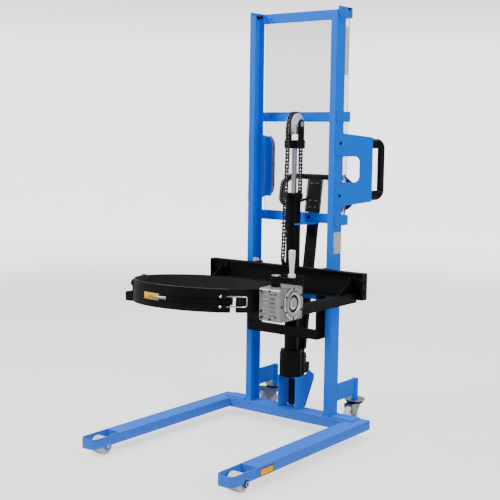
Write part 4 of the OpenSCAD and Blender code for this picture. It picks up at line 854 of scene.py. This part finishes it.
carriageRuns = [
    ((200.4, -46, 658), (200.4, -10, 658), 2.2),            # cheeks to the wide channel
    ((200.4, -8.6, 660), (200.4, -8.6, 776), 2.2),
    ((190, -21.6, 451), (190, -21.6, 492), 2.2),            # lower bar
    ((366, -47.4, 664), (366, -47.4, 686), 2.0),            # arms and their gussets
    ((365.8, -24, 744), (365.8, -146, 688), 1.6),
]
carriageSingles = [
    ((366, -518, 687.3), (406, -518, 687.3), 2.0),          # right arm's end plate
    ((406.3, -518, 648), (406.3, -518, 686), 2.0),
    ((-4.6, -46, 778.4), (-4.6, -18, 778.4), 1.8),          # chain lug
]


# Bead along a line: the radius ripples as trough + crest |sin(pi s / pitch)| along its length
def bead(a, b, radius):
    length = np.linalg.norm(b - a) * 1000
    t = np.linspace(0, 1, max(8, int(length / beadSizes["pitch"] * 4)))
    ripple = np.abs(np.sin(np.pi * t * length / beadSizes["pitch"]))
    radii = radius / 1000 * (beadSizes["trough"] + beadSizes["crest"] * ripple)
    radii[[0, -1]] *= beadSizes["endShare"]
    return tube("bead", a + (b - a) * t[:, None], radii, 8, side=(0.27, 0.43, 0.86))


def beadPiece(name, mirrored, single=()):
    runs = [(side, *run) for side in sideWords for run in mirrored] + [(1, *run) for run in single]
    return joinPieces(name, [bead(spot(side * a[0], *a[1:]), spot(side * b[0], *b[1:]), radius)
                             for side, a, b, radius in runs])


finishPiece(beadPiece("chassisBeads", chassisRuns), "chassis", bluePaint)
finishPiece(beadPiece("carriageBeads", carriageRuns, carriageSingles), "carriage", blackPaint)
print("weld beads laid")


# ---- clamp ring's latch and rim ----

ringSizes = {"tiltDegrees": 3.9, "outerRadius": 315,
             "rimFrom": -167, "rimTo": -35, "rimInset": 0.9, "rimHeight": 46.9, "rimRadius": 1.1}
tilt = math.radians(ringSizes["tiltDegrees"])


def ringSpot(r, angle, h):              # places on the clamp ring: radius and height in mm, angle in radians
    x, y = r * np.cos(angle), r * np.sin(angle)
    return np.stack([midX + x / 1000,
                     frontY + (shaft["y"] + y * math.cos(tilt) + h * math.sin(tilt)) / 1000,
                     (shaft["z"] - y * math.sin(tilt) + h * math.cos(tilt)) / 1000], axis=-1)


def ringPoint(radius, degrees, h):      # one place on the ring
    return ringSpot(np.array(radius, float), np.array(math.radians(degrees)), np.array(h, float))


# Band on the ring: a rectangle in radius and height carried round an arc, mm and degrees
def ringBand(name, start, end, inner, outer, low, high):
    a, r = np.meshgrid(np.radians(np.linspace(start, end, 24)), [inner, outer, outer, inner], indexing="ij")
    h = np.broadcast_to(np.array([low, low, high, high]), a.shape)
    return gridPiece(name, ringSpot(r, a, h), closeV=True, capU=True, flip=True)


latchSizes = {
    "pinRadius": 333, "pinAngle": -40, "rodRadius": 344, "nearAngle": -42, "farAngle": -24, "halfHeight": 20,
    "rodDiameter": 6, "blockLength": 18, "blockDepth": 28, "blockHeight": 16, "blockShift": 3,
    "nut": [(0.01, 0), (5.4, 0), (6.0, 0.8), (6.0, 5.0), (5.2, 5.8), (2.9, 6), (2.9, 9.4), (2.2, 10), (0.01, 10)],
    "tip": (263.4, 279.0, 320.6, 329.5, -9.4, 3.4),         # from and to, inner and outer radius, low and high
}


def latchRods():                        # one bent rod: out along the top, down the end bar and back along the bottom
    q = latchSizes
    h = q["halfHeight"]
    corners = [ringPoint(q["rodRadius"], q["nearAngle"], h), ringPoint(q["rodRadius"], q["farAngle"], h),
               ringPoint(q["rodRadius"], q["farAngle"], -h), ringPoint(q["rodRadius"], q["nearAngle"], -h)]
    path = roundedPath(corners, 0.007, 12)
    return tube("latchRods", path, q["rodDiameter"] / 2000, 20,
                side=(0.35, 0.9 * math.cos(tilt), -0.9 * math.sin(tilt)))


def latchBlocks():                      # the two pivot blocks, rounded
    q = latchSizes
    out = []
    for h in (q["halfHeight"] - q["blockHeight"] / 2, -q["halfHeight"] - q["blockHeight"] / 2):
        foot = ringPoint(q["pinRadius"], q["pinAngle"], h)
        radial = ringPoint(q["pinRadius"] + 1, q["pinAngle"], h) - foot
        radial /= np.linalg.norm(radial)
        normal = ringPoint(q["pinRadius"], q["pinAngle"], h + 1) - foot
        normal /= np.linalg.norm(normal)
        out.append(slab("block", foot + radial * q["blockShift"] / 1000, radial, np.cross(normal, radial),
                        q["blockDepth"], q["blockLength"], q["blockHeight"], 4))
    return joinPieces("latchBlocks", out)


def latchNuts():                        # round nuts and rod ends behind the blocks
    q = latchSizes
    out = []
    for h in (q["halfHeight"], -q["halfHeight"]):
        near, far = ringPoint(q["rodRadius"], q["nearAngle"], h), ringPoint(q["rodRadius"], q["farAngle"], h)
        out.append(lathe("nut", q["nut"], near, (near - far) / np.linalg.norm(near - far), 32))
    return joinPieces("latchNuts", out)


def leverTipHighlight():                         # bright end of the lever, a sleeve over its last few centimetres: worn metal and a painted highlight
    return ringBand("leverTipHighlight", *latchSizes["tip"])


def doorRimSheen():                          # lighter top edge of the door's band: rubbed paint and a painted highlight along the rim
    s = ringSizes
    a = np.radians(np.linspace(s["rimFrom"], s["rimTo"], 90))
    path = ringSpot(np.full(90, s["outerRadius"] - s["rimInset"]), a, np.full(90, s["rimHeight"]))
    return tube("doorRimSheen", path, s["rimRadius"] / 1000, 8, side=(0, math.sin(tilt), math.cos(tilt)))


finishPiece(doorRimSheen(), "door", rubbedSheenPaint)
finishPiece(latchRods(), "bolt", rodChrome, ["latch_bolt"])
finishPiece(latchBlocks(), "bolt", blackPaint)
finishPiece(latchNuts(), "bolt", rodChrome)
finishPiece(leverTipHighlight(), "lever", wornSteel)
print("latch dressed")


def placeSeals():                       # black cones of the swivels' ball races, under the zinc plates
    s = wheelSizes
    for side, word in sideWords.items():
        seal = lathe(word + "SwivelSeal", s["swivelCone"], spot(side * s["casterX"], s["casterY"], 0), alongZ, 64)
        finishPiece(seal, word + "_swivel", gripPlastic)


placeSeals()
print("caster seals placed")


# ---- stickers and plates, all bare ----

labelSizes = {
    "ringBorder": (253.4, 271.6, 315.02, 315.25, -20, 12), "ringField": (254.4, 270.6, 315.02, 315.5, -17.6, 9.6),
    "leg": (-724, 57), "legBorder": (92, 33, 0.4, 2), "legField": (84, 25, 0.35, 1.5),
    "plate": (40.5, 895), "plateSheet": (62, 98, 0.6, 2), "studs": [(14.5, 869), (14.5, 853)],
    "studHead": [(0.01, 0), (3.6, 0), (3.6, 0.9), (2.4, 1.6), (0.01, 1.7)],
    "screenY": 120, "screenHalf": 234, "screenLow": 991, "screenHigh": 1942, "edgeWidth": 2.2,
    "patch": (223, 1770, 20, 217), "tags": [(226, 1183.5, 15, 47), (226, 1035, 15, 50)],
}


def sideSheet(name, x, place, size):    # thin sheet that faces right
    return slab(name, spot(x, *place), alongY, alongZ, *size)


def screenPiece(name, x, z, width, height, lift=0.02, thick=0.3, corner=2):     # and one on the front of the screen
    return slab(name, spot(x, labelSizes["screenY"] - lift, z), alongX, alongZ, width, height, thick, corner)


def stickers():
    q = labelSizes
    finishPiece(ringBand("ringStickerBorder", *q["ringBorder"]), "door", blackSticker)
    finishPiece(ringBand("ringSticker", *q["ringField"]), "door", yellowSticker)
    border = sideSheet("legStickerBorder", 418.02, q["leg"], q["legBorder"])
    finishPiece(border, "chassis", blackSticker)
    finishPiece(sideSheet("legSticker", 418.3, q["leg"], q["legField"]), "chassis", yellowSticker)
    finishPiece(sideSheet("ratingPlate", 243.02, q["plate"], q["plateSheet"]), "chassis", creamSticker)
    studs = [lathe("stud", q["studHead"], spot(243.3, y, z), alongX, 16) for y, z in q["studs"]]
    finishPiece(joinPieces("plateStuds", studs), "chassis", blackScrew)
    finishPiece(screenPiece("screenPatch", *q["patch"]), "chassis", tanSticker)
    tags = [screenPiece("tag", *tag) for tag in q["tags"]]
    finishPiece(joinPieces("screenTags", tags), "chassis", lilacSticker)
    # grey strips down the clear screen's side edges: a painted reflection of the sheet's edges
    middle, high = (q["screenLow"] + q["screenHigh"]) / 2, q["screenHigh"] - q["screenLow"] - 4
    edges = [screenPiece("edge", side * (q["screenHalf"] - 1.2), middle, q["edgeWidth"], high, 0.05, 0.4, 0.8)
             for side in sideWords]
    finishPiece(joinPieces("screenEdgeReflections", edges), "chassis", edgeReflectionGrey)


stickers()
print("stickers placed")


# ---- floor, light and camera ----

stageSizes = {
    "floorRadius": 9.0, "wallHeight": 7.0, "sweepRadius": 4.5, "sides": 128, "glow": 2.4, "glowReach": 8.0,
    "glowByHeight": [(0, 0.50), (0.14, 0.82), (0.3, 0.97), (2.4, 0.97), (3.1, 0.60), (3.8, 0.44), (7, 0.30)],
    "paper": [(0.55, 0.55, 0.55), (0.53, 0.53, 0.53)], "skyColour": (0.92, 0.95, 1.0, 1), "skyStrength": 0.45,
}
lamps = {                               # place, aim, width and power
    "keyLight": ((-3.0, -4.4, 4.4), (0, 0, 0.8), 2.4, 330),
    "fillLight": ((4.8, -1.6, 3.2), (0, 0, 0.9), 2.8, 150),
    "topLight": ((0.2, 0.4, 5.6), (0, 0, 0), 3.2, 260),
    "backLight": ((-0.5, 5.0, 3.4), (0, 0, 1.0), 3.0, 110),
}


def paperFloor():                       # pale paper whose own glow falls off with height, seen by the camera alone
    s = stageSizes
    material, tree, shader, coords = startMaterial("paperFloor")
    link(tree, mixColour(tree, noiseNode(tree, coords, 2.0), *s["paper"]), shader.inputs["Base Color"])
    shader.inputs["Roughness"].default_value = 0.9
    shader.inputs["Specular IOR Level"].default_value = 0.05
    rise = mathNode(tree, "DIVIDE", heightOf(tree, coords), s["glowReach"], True)
    stops = [(height / s["glowReach"], (grey, grey, grey)) for height, grey in s["glowByHeight"]]
    link(tree, greyRamp(tree, rise, stops), shader.inputs["Emission Color"])
    seen = tree.nodes.new("ShaderNodeLightPath").outputs["Is Camera Ray"]       # so that it lights nothing else
    link(tree, mathNode(tree, "MULTIPLY", seen, s["glow"]), shader.inputs["Emission Strength"])
    return material


# Floor that sweeps up into a round wall, seen from within: a profile r(t), z(t) turned about the Z axis
def studioBowl():
    s = stageSizes
    t = np.linspace(0, np.pi / 2, 25)[1:]
    level = s["floorRadius"] - s["sweepRadius"]
    flat = np.linspace(0.001, level, 12)
    r = np.concatenate([flat, level + s["sweepRadius"] * np.sin(t), [s["floorRadius"]]])[:, None]
    z = np.concatenate([0 * flat, s["sweepRadius"] * (1 - np.cos(t)), [s["wallHeight"]]])[:, None]
    v = np.linspace(0, 2 * np.pi, s["sides"], endpoint=False)
    points = np.stack([r * np.cos(v), r * np.sin(v), np.broadcast_to(z, (len(r), s["sides"]))], axis=-1)
    bowl = gridPiece("studioBowl", points, closeV=True)
    bowl.data.materials.append(paperFloor())


def softLight(name, place, aim, size, power):
    light = bpy.data.lights.new(name, "AREA")
    light.shape = "DISK"
    light.size = size
    light.energy = power
    lamp = bpy.data.objects.new(name, light)
    lamp.location = place
    lamp.rotation_euler = (Vector(aim) - Vector(place)).to_track_quat("-Z", "Y").to_euler()
    bpy.context.scene.collection.objects.link(lamp)


def paleSky():
    world = bpy.data.worlds.new("studio")
    world.use_nodes = True
    background = world.node_tree.nodes["Background"]
    background.inputs["Color"].default_value = stageSizes["skyColour"]
    background.inputs["Strength"].default_value = stageSizes["skyStrength"]
    bpy.context.scene.world = world


studioBowl()
for name, (place, aim, size, power) in lamps.items():
    softLight(name, place, aim, size, power)
paleSky()

cameraSizes = {"azimuth": 37.064, "downPitch": 6.436, "roll": 0.733, "focalPixels": 1013.3, "framePixels": 500,
               "x": 2712.4, "y": -3891.9, "z": 1379.5}


def placeCamera():
    c = cameraSizes
    az, el, roll = (math.radians(c[k]) for k in ("azimuth", "downPitch", "roll"))
    back = np.array([math.sin(az) * math.cos(el), -math.cos(az) * math.cos(el), math.sin(el)])
    right = np.cross(-back, alongZ)
    right /= np.linalg.norm(right)
    up = np.cross(right, -back)
    turnedRight = math.cos(roll) * right + math.sin(roll) * up
    turnedUp = -math.sin(roll) * right + math.cos(roll) * up
    lens = bpy.data.cameras.new("camera")
    lens.sensor_width = 36
    lens.lens = c["focalPixels"] / c["framePixels"] * 36
    camera = bpy.data.objects.new("camera", lens)
    axes = Matrix([turnedRight.tolist(), turnedUp.tolist(), back.tolist()]).transposed().to_4x4()
    camera.matrix_world = Matrix.Translation(Vector(spot(c["x"], c["y"], c["z"]))) @ axes
    bpy.context.scene.collection.objects.link(camera)
    bpy.context.scene.camera = camera


placeCamera()
print("stage set")
